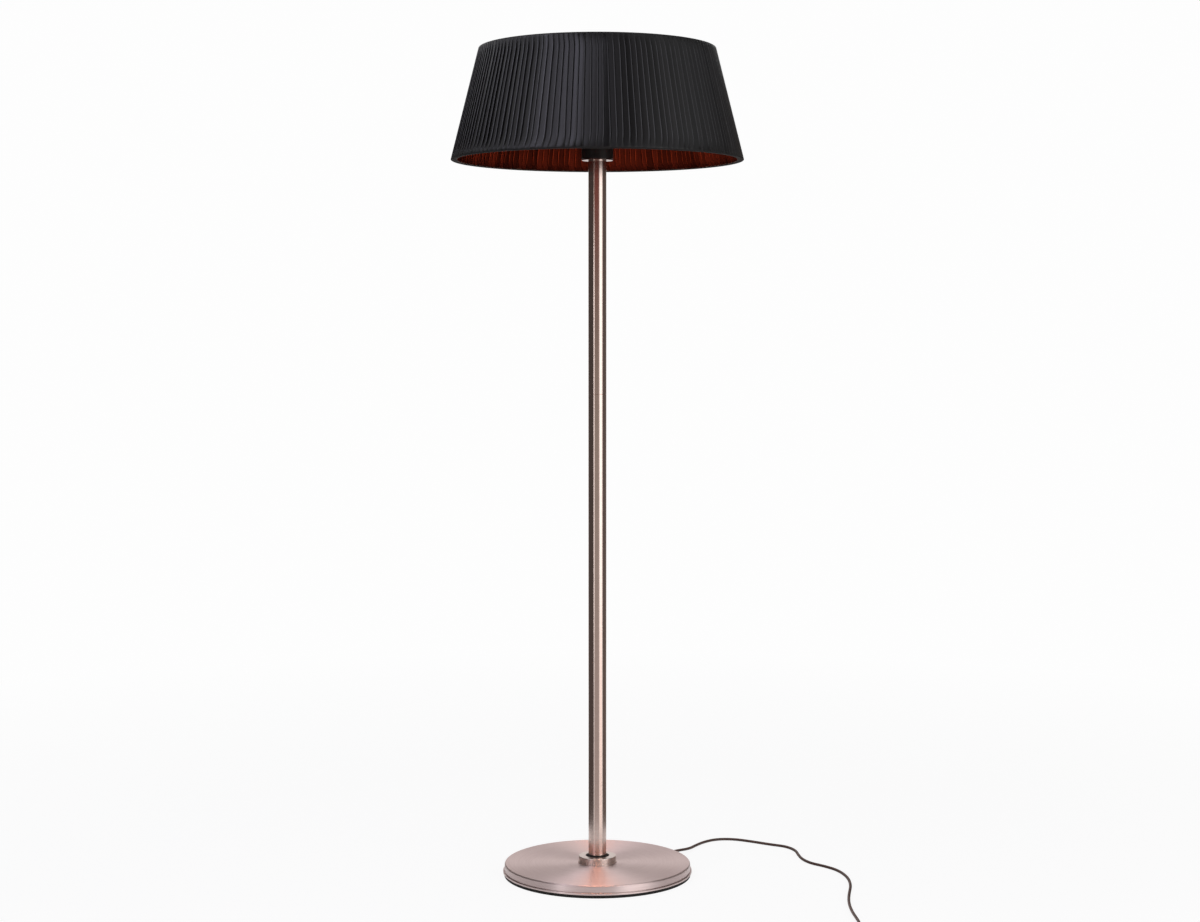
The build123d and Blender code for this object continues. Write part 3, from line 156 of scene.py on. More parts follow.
def relief(tree, shader, pattern, depth, strength, normal=None):
    """Bump the shader's surface by a pattern, depth metres from its low to its high places."""
    settings = {"Distance": depth, "Strength": strength}
    bump = add(tree, "ShaderNodeBump", settings, {"Height": pattern})
    if normal is not None:
        tree.links.new(normal, bump.inputs["Normal"])
    feed(tree, shader, Normal=bump.outputs[0])


def dress(material, *names):
    """Put a material on every slot of these pieces of the construction."""
    for name in names:
        for held in nodes[name].material_slots:
            held.material = material
    print(material.name, "on", ", ".join(names))


# %% [markdown]
# ## Meshes from grids
#
# Every new piece below is a surface with two parameters: rows and columns of points that a formula
# gives. It could be pushed into shape by hand or by modifiers, but a formula keeps its sizes exact
# and can be read. One function puts such a grid into a mesh and closes its seams and poles.

# %% Grid to mesh
WELD_REACH = 0.001 * MM


def weld(mesh):
    """Merge points that lie on each other and turn all faces outwards."""
    work = bmesh.new()
    work.from_mesh(mesh)
    bmesh.ops.remove_doubles(work, verts=work.verts, dist=WELD_REACH)
    bmesh.ops.recalc_face_normals(work, faces=work.faces)
    work.to_mesh(mesh)
    work.free()


def surface(name, points, material, uv=None, wrap_rows=False, wrap_columns=False):
    """Mesh over a grid of points, (rows, columns, 3). A wrapped direction closes on itself. Rows of one
    place, as at a pole, are merged to a point."""
    rows, columns, _ = points.shape
    index = np.arange(rows * columns).reshape(rows, columns)
    if wrap_rows:
        index = np.vstack([index, index[:1]])
    if wrap_columns:
        index = np.hstack([index, index[:, :1]])
    corners = [index[:-1, :-1], index[1:, :-1], index[1:, 1:], index[:-1, 1:]]
    quads = np.stack(corners, axis=-1).reshape(-1, 4).astype(np.int32)
    mesh = bpy.data.meshes.new(name)
    mesh.vertices.add(rows * columns)
    mesh.vertices.foreach_set("co", points.reshape(-1).astype(np.float32))
    mesh.loops.add(quads.size)
    mesh.loops.foreach_set("vertex_index", quads.reshape(-1))
    mesh.polygons.add(len(quads))
    mesh.polygons.foreach_set("loop_start", np.arange(0, quads.size, 4, dtype=np.int32))
    mesh.update(calc_edges=True)
    if uv is not None:
        place = [uv[:-1, :-1], uv[1:, :-1], uv[1:, 1:], uv[:-1, 1:]]
        layer = mesh.uv_layers.new(name="UVMap")
        layer.data.foreach_set("uv", np.stack(place, axis=2).reshape(-1).astype(np.float32))
    weld(mesh)
    mesh.polygons.foreach_set("use_smooth", np.full(len(mesh.polygons), True))
    mesh.materials.append(material)
    piece = bpy.data.objects.new(name, mesh)
    bpy.context.scene.collection.objects.link(piece)
    return piece


def revolved(profile, sides):
    """Grid of a profile of (distance along X, radius) turned about X: y and z are the radius times the
    cosine and the sine of the turn."""
    turn = np.arange(sides) * 2 * np.pi / sides
    along, radius = np.asarray(profile).T
    x = np.outer(along, np.ones(sides))
    y = np.outer(radius, np.cos(turn))
    z = np.outer(radius, np.sin(turn))
    return np.stack([x, y, z], axis=-1)


def finish_piece(piece, body, slot, *replaced):
    """Let a new piece ride on a body and stand for the nodes that it replaces. Its slot is not used."""
    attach(piece, body)
    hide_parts(*replaced)
    print(piece.name, "stands for", ", ".join(replaced))


# %% [markdown]
# ## The mains lead
#
# A rubber lead leaves the back of the base through a tapered strain relief, wanders over the floor
# to the right and out of the picture. What the picture doesn't show is wound into a flat two-layer
# coil with a strap, a short tail and a plug.
#
# The lead could be simulated, but then nobody would know where it comes to rest. Here it is a single
# smooth spline: its control points are the corners of the route, and the coil's turns are more
# points of the same spline, worked out half turn by half turn, because each half turn is a
# semicircle a little smaller than the last.

# %% The lead's route, in metres
LEAD_RADIUS = 3.0 * MM
BASE_RADIUS = 200.0 * MM
EXIT_HEIGHT = 10.0 * MM
EXIT_HEADING = math.radians(42.0)
RELIEF_LENGTH = 21.0 * MM   # how far the strain relief stands out of the base
GLAND_TIP = (
    (BASE_RADIUS + RELIEF_LENGTH) * math.cos(EXIT_HEADING),
    (BASE_RADIUS + RELIEF_LENGTH) * math.sin(EXIT_HEADING),
    EXIT_HEIGHT,
)
FLOOR_ROUTE = [
    (0.17538, 0.15791, 0.0100), (0.203, 0.188, 0.0066), (0.219, 0.229, 0.0039), (0.241, 0.266, 0.0032),
    (0.270, 0.290, 0.0031), (0.308, 0.2905, 0.0031), (0.347, 0.268, 0.0031), (0.387, 0.240, 0.0031),
    (0.421, 0.222, 0.0031), (0.4385, 0.187, 0.0031), (0.4405, 0.148, 0.0031), (0.445, 0.110, 0.0031),
    (0.460, 0.075, 0.0031), (0.487, 0.050, 0.0031), (0.513, 0.015, 0.0031), (0.527, -0.042, 0.0031),
    (0.526, -0.106, 0.0031), (0.514, -0.172, 0.0031), (0.505, -0.240, 0.0031), (0.504, -0.308, 0.0031),
    (0.509, -0.372, 0.0033), (0.508, -0.428, 0.0046), (0.508, -0.462, 0.0046),
]
TAIL_ROUTE = [
    (0.512, -0.474, 0.0116), (0.512, -0.494, 0.0116), (0.514, -0.522, 0.0193), (0.514, -0.546, 0.0193),
]
COIL_CENTRE = (0.549, -0.468)
COIL_LOW = 4.6 * MM         # height of the middle of the coil's lower layer
COIL_LAYER = 7.0 * MM       # from one layer to the next
# radius at each station of the coil, half a turn apart: inwards in the lower layer, outwards in the upper
COIL_RADII = [0.041, 0.037, 0.033, 0.029, 0.025, 0.021, 0.021, 0.025, 0.029, 0.033, 0.037]
CLIMB = 5                   # the half turn in which the lead climbs to the upper layer
POINTS_PER_HALF_TURN = 8


def coil_points():
    """Half turn by half turn from the left side: a semicircle between two stations, whose control points
    stand out by 1 / cos(half a step), so that the spline, which touches its sides, has the true radius."""
    half_step = math.pi / (2 * POINTS_PER_HALF_TURN)
    turn = half_step * (2 * np.arange(POINTS_PER_HALF_TURN) + 1)
    runs = []
    for i, (here, there) in enumerate(zip(COIL_RADII, COIL_RADII[1:])):
        side = -1 if i % 2 == 0 else 1
        middle = COIL_CENTRE[0] + side * (here - there) / 2
        reach = (here + there) / 2 / math.cos(half_step)
        low = COIL_LOW + (COIL_LAYER if i > CLIMB else 0.0)
        rise = COIL_LAYER if i == CLIMB else 0.0
        x = middle + side * reach * np.cos(turn)
        y = COIL_CENTRE[1] + side * reach * np.sin(turn)
        runs.append(np.stack([x, y, low + rise * turn / math.pi], axis=-1))
    return np.concatenate(runs).tolist()


# %% The lead
def smooth_line(name, route, radius):
    """Curve of one open spline with these control points, as a round tube."""
    curve = bpy.data.curves.new(name, "CURVE")
    curve.dimensions = "3D"
    curve.bevel_depth = radius
    curve.bevel_resolution = 4
    curve.use_fill_caps = True
    curve.resolution_u = 6
    spline = curve.splines.new("NURBS")
    spline.points.add(len(route) - 1)
    for point, place in zip(spline.points, route):
        point.co = (*place, 1.0)
    spline.order_u = 3
    spline.use_endpoint_u = True
    piece = bpy.data.objects.new(name, curve)
    bpy.context.scene.collection.objects.link(piece)
    return piece


def lead_rubber():
    """Rubber sheath of a mains lead, extruded, dark brown-black: a soft dull shine with faint drag marks."""
    material, tree, shader = new_finish("extruded_rubber_sheath", "#4f3d38", 0.5, Specular_IOR_Level=0.4)
    marks = speckle(tree, 6 * MM)
    feed(tree, shader, Base_Color=between(tree, marks, "#4a3934", "#55433d", *MIDDLE))
    feed(tree, shader, Roughness=between(tree, marks, 0.38, 0.62))
    relief(tree, shader, speckle(tree, 1.2 * MM), 0.05 * MM, 0.4)
    return material


LEAD_RUBBER = lead_rubber()
lead_route = [GLAND_TIP] + FLOOR_ROUTE + coil_points() + TAIL_ROUTE
mains_lead = smooth_line("mains_lead", lead_route, LEAD_RADIUS)
mains_lead.data.materials.append(LEAD_RUBBER)
finish_piece(mains_lead, "stand", "cord_rubber", "cord_run", "cord_coil", "cord_tail")

# %% [markdown]
# ## On the lead: strain relief, strap and plug
#
# The strain relief is moulded rubber with ring grooves, which let it bend evenly. The strap is a
# flat band of the same black rubber. The plug is a round moulded one with grip grooves. Each could
# be cut from cylinders, but a turned piece is all in its profile, and a band in its loop and its
# section, so each is one grid of points.

# %% Moulded rubber
def moulded_rubber():
    """Black moulded rubber, from a fine spark-eroded mould: matt, with a slight grain."""
    material, tree, shader = new_finish("moulded_black_rubber", "#1b1b1c", 0.55, Specular_IOR_Level=0.4)
    grain = speckle(tree, 0.8 * MM)
    feed(tree, shader, Roughness=between(tree, grain, 0.45, 0.68))
    feed(tree, shader, Base_Color=between(tree, speckle(tree, 25 * MM), "#161617", "#232324"))
    relief(tree, shader, grain, 0.04 * MM, 0.5)
    return material


MOULDED_RUBBER = moulded_rubber()


def placed(grid, origin, heading):
    """Turn a grid about Z so that its X points at the heading, and move it to its origin."""
    cosine = math.cos(heading)
    sine = math.sin(heading)
    turn = np.array([[cosine, sine, 0.0], [-sine, cosine, 0.0], [0.0, 0.0, 1.0]])
    return grid @ turn + np.asarray(origin)


def ring_grooves(share, count, start=0.0):
    """Depth, 0 to 1, of rounded grooves: the positive part of a sine of count waves, to the power 0.6."""
    return np.clip(np.sin(share * count * 2 * np.pi - start), 0.0, 1.0) ** 0.6


# %% Strain relief
RELIEF_FRONT = [            # (distance out of the base's edge, radius) in mm: plug in the rim, then flange
    (-12.0, 0.0), (-12.0, 4.0), (-10.5, 4.8), (-5.0, 4.8), (0.3, 4.8),
    (0.35, 6.0), (0.7, 6.4), (1.4, 6.3), (1.9, 5.7),
]
TAPER_FROM = 4.8 * MM       # radius at the flange
TAPER_TO = 3.9 * MM         # radius at the tip
RELIEF_RINGS = 5
RELIEF_DIP = 0.55 * MM
SMOOTH_TIP = 0.96           # share of the taper's length after which it has no grooves


def strain_relief():
    """Flanged plug in the base's rim, then radius = taper - dip * ring grooves, but never into the lead."""
    tail = BASE_RADIUS + np.linspace(RELIEF_FRONT[-1][0] * MM, RELIEF_LENGTH, 61)
    share = np.linspace(0.0, 1.0, 61)
    taper = TAPER_FROM + (TAPER_TO - TAPER_FROM) * share
    taper -= RELIEF_DIP * ring_grooves(share, RELIEF_RINGS, 0.5 * np.pi) * (share < SMOOTH_TIP)
    taper = np.maximum(taper, LEAD_RADIUS + 0.15 * MM)
    front = [(BASE_RADIUS + out * MM, radius * MM) for out, radius in RELIEF_FRONT]
    profile = front + list(zip(tail, taper)) + [(tail[-1], 0.0)]
    grid = placed(revolved(profile, 32), (0.0, 0.0, EXIT_HEIGHT), EXIT_HEADING)
    return surface("strain_relief", grid, MOULDED_RUBBER, wrap_columns=True)


finish_piece(strain_relief(), "stand", "black_rubber", "cord_gland")

# %% Strap round the coil
STRAP_THICKNESS = 1.0 * MM
LOOP_POWER = 3.6            # how square the strap's loop is: 2 is round, more is squarer
BAND_POWER = 5.0            # and how square the band's own section is


def squared(wave, power):
    """A cosine or sine pushed outwards: its sign times its size to the power 2 / n. Two of them make the
    superellipse |x|^n + |y|^n = 1, which is a rectangle with soft corners."""
    return np.sign(wave) * np.abs(wave) ** (2.0 / power)


def coil_strap():
    """Closed band: place = centre + loop superellipse * (half size + depth within the band's section)."""
    low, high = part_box("cord_tie")
    centre = (np.array(low) + np.array(high)) / 2
    half = (np.array(high) - np.array(low)) / 2
    turn = np.linspace(0.0, 2 * np.pi, 96, endpoint=False)[:, None]
    across = np.linspace(0.0, 2 * np.pi, 16, endpoint=False)
    wide = squared(np.cos(across), BAND_POWER) * half[1]
    deep = (squared(np.sin(across), BAND_POWER) - 1.0) * STRAP_THICKNESS / 2
    x = centre[0] + squared(np.cos(turn), LOOP_POWER) * (half[0] + deep)
    z = centre[2] + squared(np.sin(turn), LOOP_POWER) * (half[2] + deep)
    y = centre[1] + np.broadcast_to(wide, x.shape)
    grid = np.stack([x, y, z], axis=-1)
    return surface("coil_strap", grid, MOULDED_RUBBER, wrap_rows=True, wrap_columns=True)


strap = coil_strap()
finish_piece(strap, "stand", "black_rubber", "cord_tie")

# %% Plug
PLUG_HEADING = math.radians(-90.0)
BOOT_LENGTH = 26.0 * MM
BOOT_FROM = 4.2 * MM        # radius where the lead comes out
BOOT_TO = 6.5 * MM          # radius where the boot meets the body
BOOT_RINGS = 5
BOOT_DIP = 0.6 * MM
BODY_LENGTH = 36.0 * MM
PLUG_RADIUS = 19.0 * MM
PLUG_NECK = 13.0 * MM
GRIP_WAVES = 4
GRIP_DIP = 0.7 * MM
GRIP_ENDS = 0.8             # share of the shoulder's length after which it has no grooves
PLUG_FACE = [(-11.2, 0.0), (-1.4, 0.0), (-0.4, -0.4), (0.0, -1.4)]  # (behind the face, off the radius), mm


def plug():
    """Boot, shoulder and round body as one turned profile. Boot = straight taper - dip * ring grooves.
    Shoulder = neck + (body - neck) * (1 - cosine of a quarter turn) - dip * the positive part of a sine."""
    boot = np.linspace(0.0, BOOT_LENGTH, 40)
    share = boot / BOOT_LENGTH
    boot_radius = BOOT_FROM + (BOOT_TO - BOOT_FROM) * share - BOOT_DIP * ring_grooves(share, BOOT_RINGS)
    boot_radius = np.maximum(boot_radius, LEAD_RADIUS + 0.2 * MM)
    end = BOOT_LENGTH + BODY_LENGTH
    neck = np.linspace(BOOT_LENGTH + 0.6 * MM, end - 12.0 * MM, 60)
    share = np.linspace(0.0, 1.0, 60)
    body = PLUG_NECK + (PLUG_RADIUS - PLUG_NECK) * (1.0 - np.cos(share * np.pi / 2))
    body -= GRIP_DIP * np.clip(np.sin(share * GRIP_WAVES * 2 * np.pi), 0.0, 1.0) * (share < GRIP_ENDS)
    body[:2] = PLUG_NECK - np.array([1.6, 0.3]) * MM     # the neck's own rounded edge
    face = [(end + behind * MM, PLUG_RADIUS + off * MM) for behind, off in PLUG_FACE]
    profile = [(0.0, 0.0)] + list(zip(boot, boot_radius)) + list(zip(neck, body)) + face + [(end, 0.0)]
    grid = placed(revolved(profile, 64), TAIL_ROUTE[-1], PLUG_HEADING)
    return surface("mains_plug", grid, MOULDED_RUBBER, wrap_columns=True)


mains_plug = plug()
finish_piece(mains_plug, "stand", "plug_rubber", "plug_body")

# %% [markdown]
# ## Floor and backdrop
#
# The heater stands on plain white paper in front of white. A white picture could be had by more
# light, but that would bleach the heater too. So paper and world look white to the eye and in
# mirrors, and light the heater at a plain level only.

# %% White for the eye, plain light for the object
AMBIENT = 0.34              # what the white surround adds to the light
BACKDROP = 0.985            # how white it looks


def seen(tree):
    """1 for what the camera sees, straight, mirrored or through glass, and 0 for plain lighting."""
    path = add(tree, "ShaderNodeLightPath").outputs
    larger = {"operation": "MAXIMUM"}
    mirrored = add(tree, "ShaderNodeMath", larger, {0: path["Is Glossy Ray"], 1: path["Is Transmission Ray"]})
    either = add(tree, "ShaderNodeMath", larger, {0: path["Is Camera Ray"], 1: mirrored.outputs[0]})
    return either.outputs[0]


world = bpy.data.worlds.new("studio")
world.use_nodes = True
sky = world.node_tree
ambient = add(sky, "ShaderNodeBackground", {"Color": linear("#ffffff"), "Strength": AMBIENT})
white = add(sky, "ShaderNodeBackground", {"Color": linear("#ffffff"), "Strength": BACKDROP})
both = add(sky, "ShaderNodeMixShader", {}, {0: seen(sky), 1: ambient.outputs[0], 2: white.outputs[0]})
sky.links.new(both.outputs[0], sky.nodes["World Output"].inputs["Surface"])
bpy.context.scene.world = world
print("the world looks", BACKDROP, "white and lights at", AMBIENT)

# %% Floor
FLOOR_RADIUS = 14.0
FLOOR_LEVEL = -0.3 * MM     # a hair under the heater, so that no two faces lie in one plane
FLOOR_SIDES = 96
PAPER_GLOW = 0.885          # what the paper adds of its own near the heater
FADE = (1.1, 3.1)           # distances between which the paper passes into the backdrop


def bare_material(name):
    """A material with an empty node tree but for its output."""
    material = bpy.data.materials.new(name)
    material.use_nodes = True
    tree = material.node_tree
    tree.nodes.remove(tree.nodes["Principled BSDF"])
    return material, tree, tree.nodes["Material Output"].inputs["Surface"]


def studio_floor():
    """White paper. It scatters light as paper does, and adds just enough of its own to read as white to
    the eye. Far away it passes into the backdrop, so that no horizon shows."""
    material, tree, out = bare_material("white_studio_paper")
    place = add(tree, "ShaderNodeTexCoord").outputs["Object"]
    far = add(tree, "ShaderNodeVectorMath", {"operation": "LENGTH"}, {0: place}).outputs["Value"]
    plain = add(tree, "ShaderNodeBsdfDiffuse", {"Color": linear("#e8e8e8")})
    shade = add(tree, "ShaderNodeBsdfDiffuse", {}, {"Color": between(tree, far, "#757575", "#000000", *FADE)})
    own = between(tree, far, PAPER_GLOW, BACKDROP, *FADE)
    glow = add(tree, "ShaderNodeEmission", {"Color": linear("#ffffff")}, {"Strength": own})
    lit = add(tree, "ShaderNodeAddShader", {}, {0: shade.outputs[0], 1: glow.outputs[0]})
    mix = add(tree, "ShaderNodeMixShader", {}, {0: seen(tree), 1: plain.outputs[0], 2: lit.outputs[0]})
    tree.links.new(mix.outputs[0], out)
    return material


turns = np.linspace(0.0, 2 * np.pi, FLOOR_SIDES, endpoint=False)
rings = np.array([0.0, FLOOR_RADIUS])
floor_x = np.outer(rings, np.cos(turns))
floor_y = np.outer(rings, np.sin(turns))
floor_grid = np.stack([floor_x, floor_y, np.full(floor_x.shape, FLOOR_LEVEL)], axis=-1)
floor = surface("floor", floor_grid, studio_floor(), wrap_columns=True)
print("floor", 2 * FLOOR_RADIUS, "m across")

# %% [markdown]
# ## What the steel mirrors
#
# Brushed steel is only as good as what it mirrors. A photographer stands cards round a polished
# pole: dark ones at its sides for crisp edges, grey and rose ones in front for its long streaks,
# light ones where an edge has to gleam. The same cards stand here. They could be real cards that
# also shade the floor, but these are seen by reflections only, so the floor stays plain.

# %% Cards that only reflections see
CARD_FOOT = 2.0 * MM        # how far the cards keep off the floor
NEAR_FOOT = (0.42, CARD_FOOT)       # where the lowest cards begin: distance from the pole, and height
CARD_STEPS = 25


def screen(name, first, last, profile, tones, strength=1.0):
    """Card between two headings, counted in degrees from the camera's side towards +X. Its profile is a
    list of (distance, height). Its tones are (height, colour), and it changes evenly between them."""
    material, tree, out = bare_material(name)
    place = add(tree, "ShaderNodeTexCoord").outputs["Object"]
    height = add(tree, "ShaderNodeSeparateXYZ", {}, {0: place}).outputs["Z"]
    top = tones[-1][0]
    share = add(tree, "ShaderNodeMath", {"operation": "DIVIDE", 1: top}, {0: height}).outputs[0]
    ramp = add(tree, "ShaderNodeValToRGB", {}, {0: share})
    while len(ramp.color_ramp.elements) < len(tones):
        ramp.color_ramp.elements.new(0.5)
    for element, (level, colour) in zip(ramp.color_ramp.elements, tones):
        element.position = level / top
        element.color = linear(colour)
    glow = add(tree, "ShaderNodeEmission", {"Strength": strength}, {"Color": ramp.outputs[0]})
    tree.links.new(glow.outputs[0], out)
    headings = np.radians(np.linspace(first, last, CARD_STEPS))
    distance, level = np.array(profile).T
    x = np.outer(distance, np.sin(headings))
    y = -np.outer(distance, np.cos(headings))
    z = np.outer(level, np.ones(CARD_STEPS))
    card = surface(name, np.stack([x, y, z], axis=-1), material)
    for ray in ("camera", "diffuse", "transmission", "volume_scatter", "shadow"):
        setattr(card, "visible_" + ray, False)
    print(name, "from", first, "to", last, "degrees")


FRONT_TONES = [
    (0.0, "#c4bbb7"), (0.86, "#b3aaa2"), (1.28, "#92827a"),
    (1.55, "#8a4e46"), (1.8, "#8a4e46"), (1.9, "#4a4240"),
]
GAP_TONES = [(0.0, "#f4e4dc"), (1.44, "#f4e4dc"), (1.6, "#6a4238"), (2.1, "#54352e")]
SIDE_PROFILE = [NEAR_FOOT, (1.3, CARD_FOOT), (1.3, 2.0)]
UPPER_PROFILE = [(2.0, 2.1), (1.9, 4.5)]
screen("front_card", -37.0, 21.0, [NEAR_FOOT, (1.6, CARD_FOOT), (1.6, 1.9)], FRONT_TONES)
screen("left_gap", -48.0, -37.0, [(1.5, 1.42), (1.5, 2.1)], GAP_TONES)
screen("left_flag", -152.0, -48.0, SIDE_PROFILE, [(0.0, "#5e5754"), (2.1, "#4c4744")])
screen("right_flag", 70.0, 152.0, SIDE_PROFILE, [(0.0, "#746c68"), (2.1, "#66605c")])
for title, first, last, profile, tone, strength in (
        ("lit_floor", 26.0, 64.0, [NEAR_FOOT, (3.3, CARD_FOOT)], "#fff6f0", 1.6),
        ("back_card", 155.0, 205.0, [(2.6, CARD_FOOT), (2.6, 1.6)], "#e9e1df", 1.0),
        ("upper_front", -26.0, 24.0, UPPER_PROFILE, "#161618", 1.0),
        ("upper_right", 24.0, 88.0, UPPER_PROFILE, "#c4c4c6", 1.0),
        ("upper_far_right", 88.0, 135.0, UPPER_PROFILE, "#6c6c6e", 1.0),
        ("upper_left", -125.0, -74.0, UPPER_PROFILE, "#e4e4e8", 1.0)):
    screen(title, first, last, profile, [(0.0, tone), (1.0, tone)], strength)

# %% [markdown]
# ## Lamps
#
# A wide soft box at the right lights the heater, small ones at the left and one high up fill it in.
# The hot rings should light the shade from inside. Light from such thin wire comes out as specks in
# a render, so a round lamp a little wider than the rings shines down in their place.

# %% Soft boxes and the rings' glow
GLOW_HEIGHT = 1.583         # just under the rings
GLOW_WIDTH = 0.4
GLOW_RADIANCE = 14.0


def softbox(name, heading, distance, height, width, tall, radiance, aim_height=1.0, tint="#ffffff"):
    """Rectangular lamp that faces the pole at its aim. Its power follows from how bright its face is:
    pi * area * radiance."""
    lamp = bpy.data.lights.new(name, "AREA")
    lamp.shape = "RECTANGLE"
    lamp.size = width
    lamp.size_y = tall
    lamp.energy = math.pi * width * tall * radiance
    lamp.color = linear(tint)[:3]
    holder = bpy.data.objects.new(name, lamp)
    way = math.radians(heading)
    holder.location = (distance * math.sin(way), -distance * math.cos(way), height)
    tilt = math.atan2(height - aim_height, distance)
    holder.rotation_euler = (math.pi / 2 - tilt, 0.0, way)
    bpy.context.scene.collection.objects.link(holder)
    print(name, "shines with", round(lamp.energy, 1), "W")
    return holder


# name, heading, distance, height, width, tall, radiance
softbox("right_softbox", 45.0, 3.4, 1.25, 2.0, 2.6, 1.25, tint="#fffaf6")
softbox("left_softbox", -43.0, 3.4, 1.36, 0.5, 0.5, 1.7)
softbox("low_left_softbox", -43.0, 3.4, 0.53, 0.6, 1.1, 0.8)
softbox("high_softbox", -52.0, 3.0, 3.7, 1.7, 1.2, 3.5, aim_height=1.6, tint="#e4e0ff")
heater_glow = softbox("heater_glow", 0.0, 0.0, GLOW_HEIGHT, GLOW_WIDTH, GLOW_WIDTH, GLOW_RADIANCE,
                      tint="#ffb796")
heater_glow.data.shape = "DISK"
heater_glow.rotation_euler = (0.0, 0.0, 0.0)
heater_glow.visible_camera = False

# %% What the glow spares
# The lamp fills the middle, where the real rings don't reach, so these would get light that isn't there.
spared = bpy.data.collections.new("kept_from_glow")
for thing in (floor, nodes["hub"], nodes["upper_pole"], nodes["lower_pole"], nodes["pole_washer"]):
    spared.objects.link(thing)
for held in spared.collection_objects:
    held.light_linking.link_state = "EXCLUDE"
heater_glow.light_linking.receiver_collection = spared

# %% [markdown]
# ## Brushed and spun steel
#
# The base cover is spun and then brushed while it turns, and the tubes of the pole are brushed on a
# machine that turns them too, so the fine scratches run round the middle axis everywhere. Such
# scratches spread a reflection across themselves and leave it sharp along themselves: upright
# streaks on the pole, and a fan of light on the base.
#
# Scratches could be drawn one by one in a picture, but one pattern about the axis serves tube, cup
# and cover alike, and the shader's own stretched highlight does the rest.

# %% Marks that run round the axis
def about_axis(tree):
    """Three outputs: the distance from the middle axis, the direction away from it, and the height."""
    place = add(tree, "ShaderNodeTexCoord").outputs["Object"]
    level = {"operation": "MULTIPLY", 1: (1.0, 1.0, 0.0)}
    flat = add(tree, "ShaderNodeVectorMath", level, {0: place}).outputs[0]
    radius = add(tree, "ShaderNodeVectorMath", {"operation": "LENGTH"}, {0: flat}).outputs["Value"]
    heading = add(tree, "ShaderNodeVectorMath", {"operation": "NORMALIZE"}, {0: flat}).outputs[0]
    height = add(tree, "ShaderNodeSeparateXYZ", {}, {0: place}).outputs["Z"]
    return radius, heading, height


def round_marks(tree, pitch, arc):
    """Noise that changes every pitch metres over radius and height, and only once in every arc of a turn
    (as a share of the radius) along the marks."""
    radius, heading, height = about_axis(tree)
    slower = {"operation": "SCALE", "Scale": 1.0 / arc}
    slow = add(tree, "ShaderNodeVectorMath", slower, {0: heading}).outputs[0]
    out = add(tree, "ShaderNodeMath", {"operation": "DIVIDE", 1: pitch}, {0: radius}).outputs[0]
    lift = add(tree, "ShaderNodeCombineXYZ", {}, {"Z": out}).outputs[0]
    where = add(tree, "ShaderNodeVectorMath", {"operation": "ADD"}, {0: slow, 1: lift}).outputs[0]
    up = add(tree, "ShaderNodeMath", {"operation": "DIVIDE", 1: pitch}, {0: height}).outputs[0]
    settings = {"noise_dimensions": "4D", "Scale": 1.0, "Detail": 3.0}
    return add(tree, "ShaderNodeTexNoise", settings, {"Vector": where, "W": up}).outputs[0]


def across_marks(tree, shader):
    """Turn the shader's stretched highlight across the marks: the normal crossed with the way round."""
    place = add(tree, "ShaderNodeTexCoord").outputs["Object"]
    from_axis = {"operation": "CROSS_PRODUCT", 0: (0.0, 0.0, 1.0)}
    around = add(tree, "ShaderNodeVectorMath", from_axis, {1: place}).outputs[0]
    normal = add(tree, "ShaderNodeNewGeometry").outputs["Normal"]
    across = add(tree, "ShaderNodeVectorMath", {"operation": "CROSS_PRODUCT"}, {0: normal, 1: around})
    feed(tree, shader, Tangent=across.outputs[0])


# %% [markdown]
# ## The true roundness of the cover's edge
#
# The edge of the spun cover is rounded, and the construction gives it as narrow facets. A brushed
# finish shows each facet as a small tooth of light. More facets would help a little. Here the
# shading takes the direction of the surface from the profile's formula instead, which has no facets.

# %% Normal of the turned cover
COVER_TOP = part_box("base_collar")[0][2]     # the collar stands on the cover
COVER_RADIUS = 196.6 * MM
EDGE_RADIUS = 3.2 * MM                      # rounding of the cover's upper edge
EDGE_BLEND = 0.4 * MM                       # height over which the formula takes over from the mesh


def turned_normal(tree):
    """Normal of the cover's flat top and rounded edge: away from the middle of the rounding, which is
    (max(radius - flat top's radius, 0), height - its height). The skirt keeps the mesh's own normal."""
    radius, heading, height = about_axis(tree)
    off_top = {"operation": "SUBTRACT", 1: COVER_RADIUS - EDGE_RADIUS}
    out = add(tree, "ShaderNodeMath", off_top, {0: radius}).outputs[0]
    out = add(tree, "ShaderNodeMath", {"operation": "MAXIMUM", 1: 0.0}, {0: out}).outputs[0]
    side = add(tree, "ShaderNodeVectorMath", {"operation": "SCALE"}, {0: heading, "Scale": out}).outputs[0]
    middle = COVER_TOP - EDGE_RADIUS
    up = add(tree, "ShaderNodeMath", {"operation": "SUBTRACT", 1: middle}, {0: height}).outputs[0]
    lift = add(tree, "ShaderNodeCombineXYZ", {}, {"Z": up}).outputs[0]
    away = add(tree, "ShaderNodeVectorMath", {"operation": "ADD"}, {0: side, 1: lift}).outputs[0]
    away = add(tree, "ShaderNodeVectorMath", {"operation": "NORMALIZE"}, {0: away}).outputs[0]
    own = add(tree, "ShaderNodeNewGeometry").outputs["Normal"]
    share = between(tree, height, 0.0, 1.0, middle, middle + EDGE_BLEND)
    return add(tree, "ShaderNodeMix", {"data_type": "VECTOR"}, {0: share, 4: own, 5: away}).outputs[1]


# %% Steel finishes
STREAKS = (0.3, 0.7)        # most values of the marks lie between these
CLOUD_SHARE = 0.2           # how much of the tone comes from wide soft bands
CLOUD_PITCH = 12            # how many times wider the bands are than the marks
CLOUD_ARC = 3               # and how many times longer
SCRATCH_DEPTH = 0.3 * MM    # times how uneven the finish is


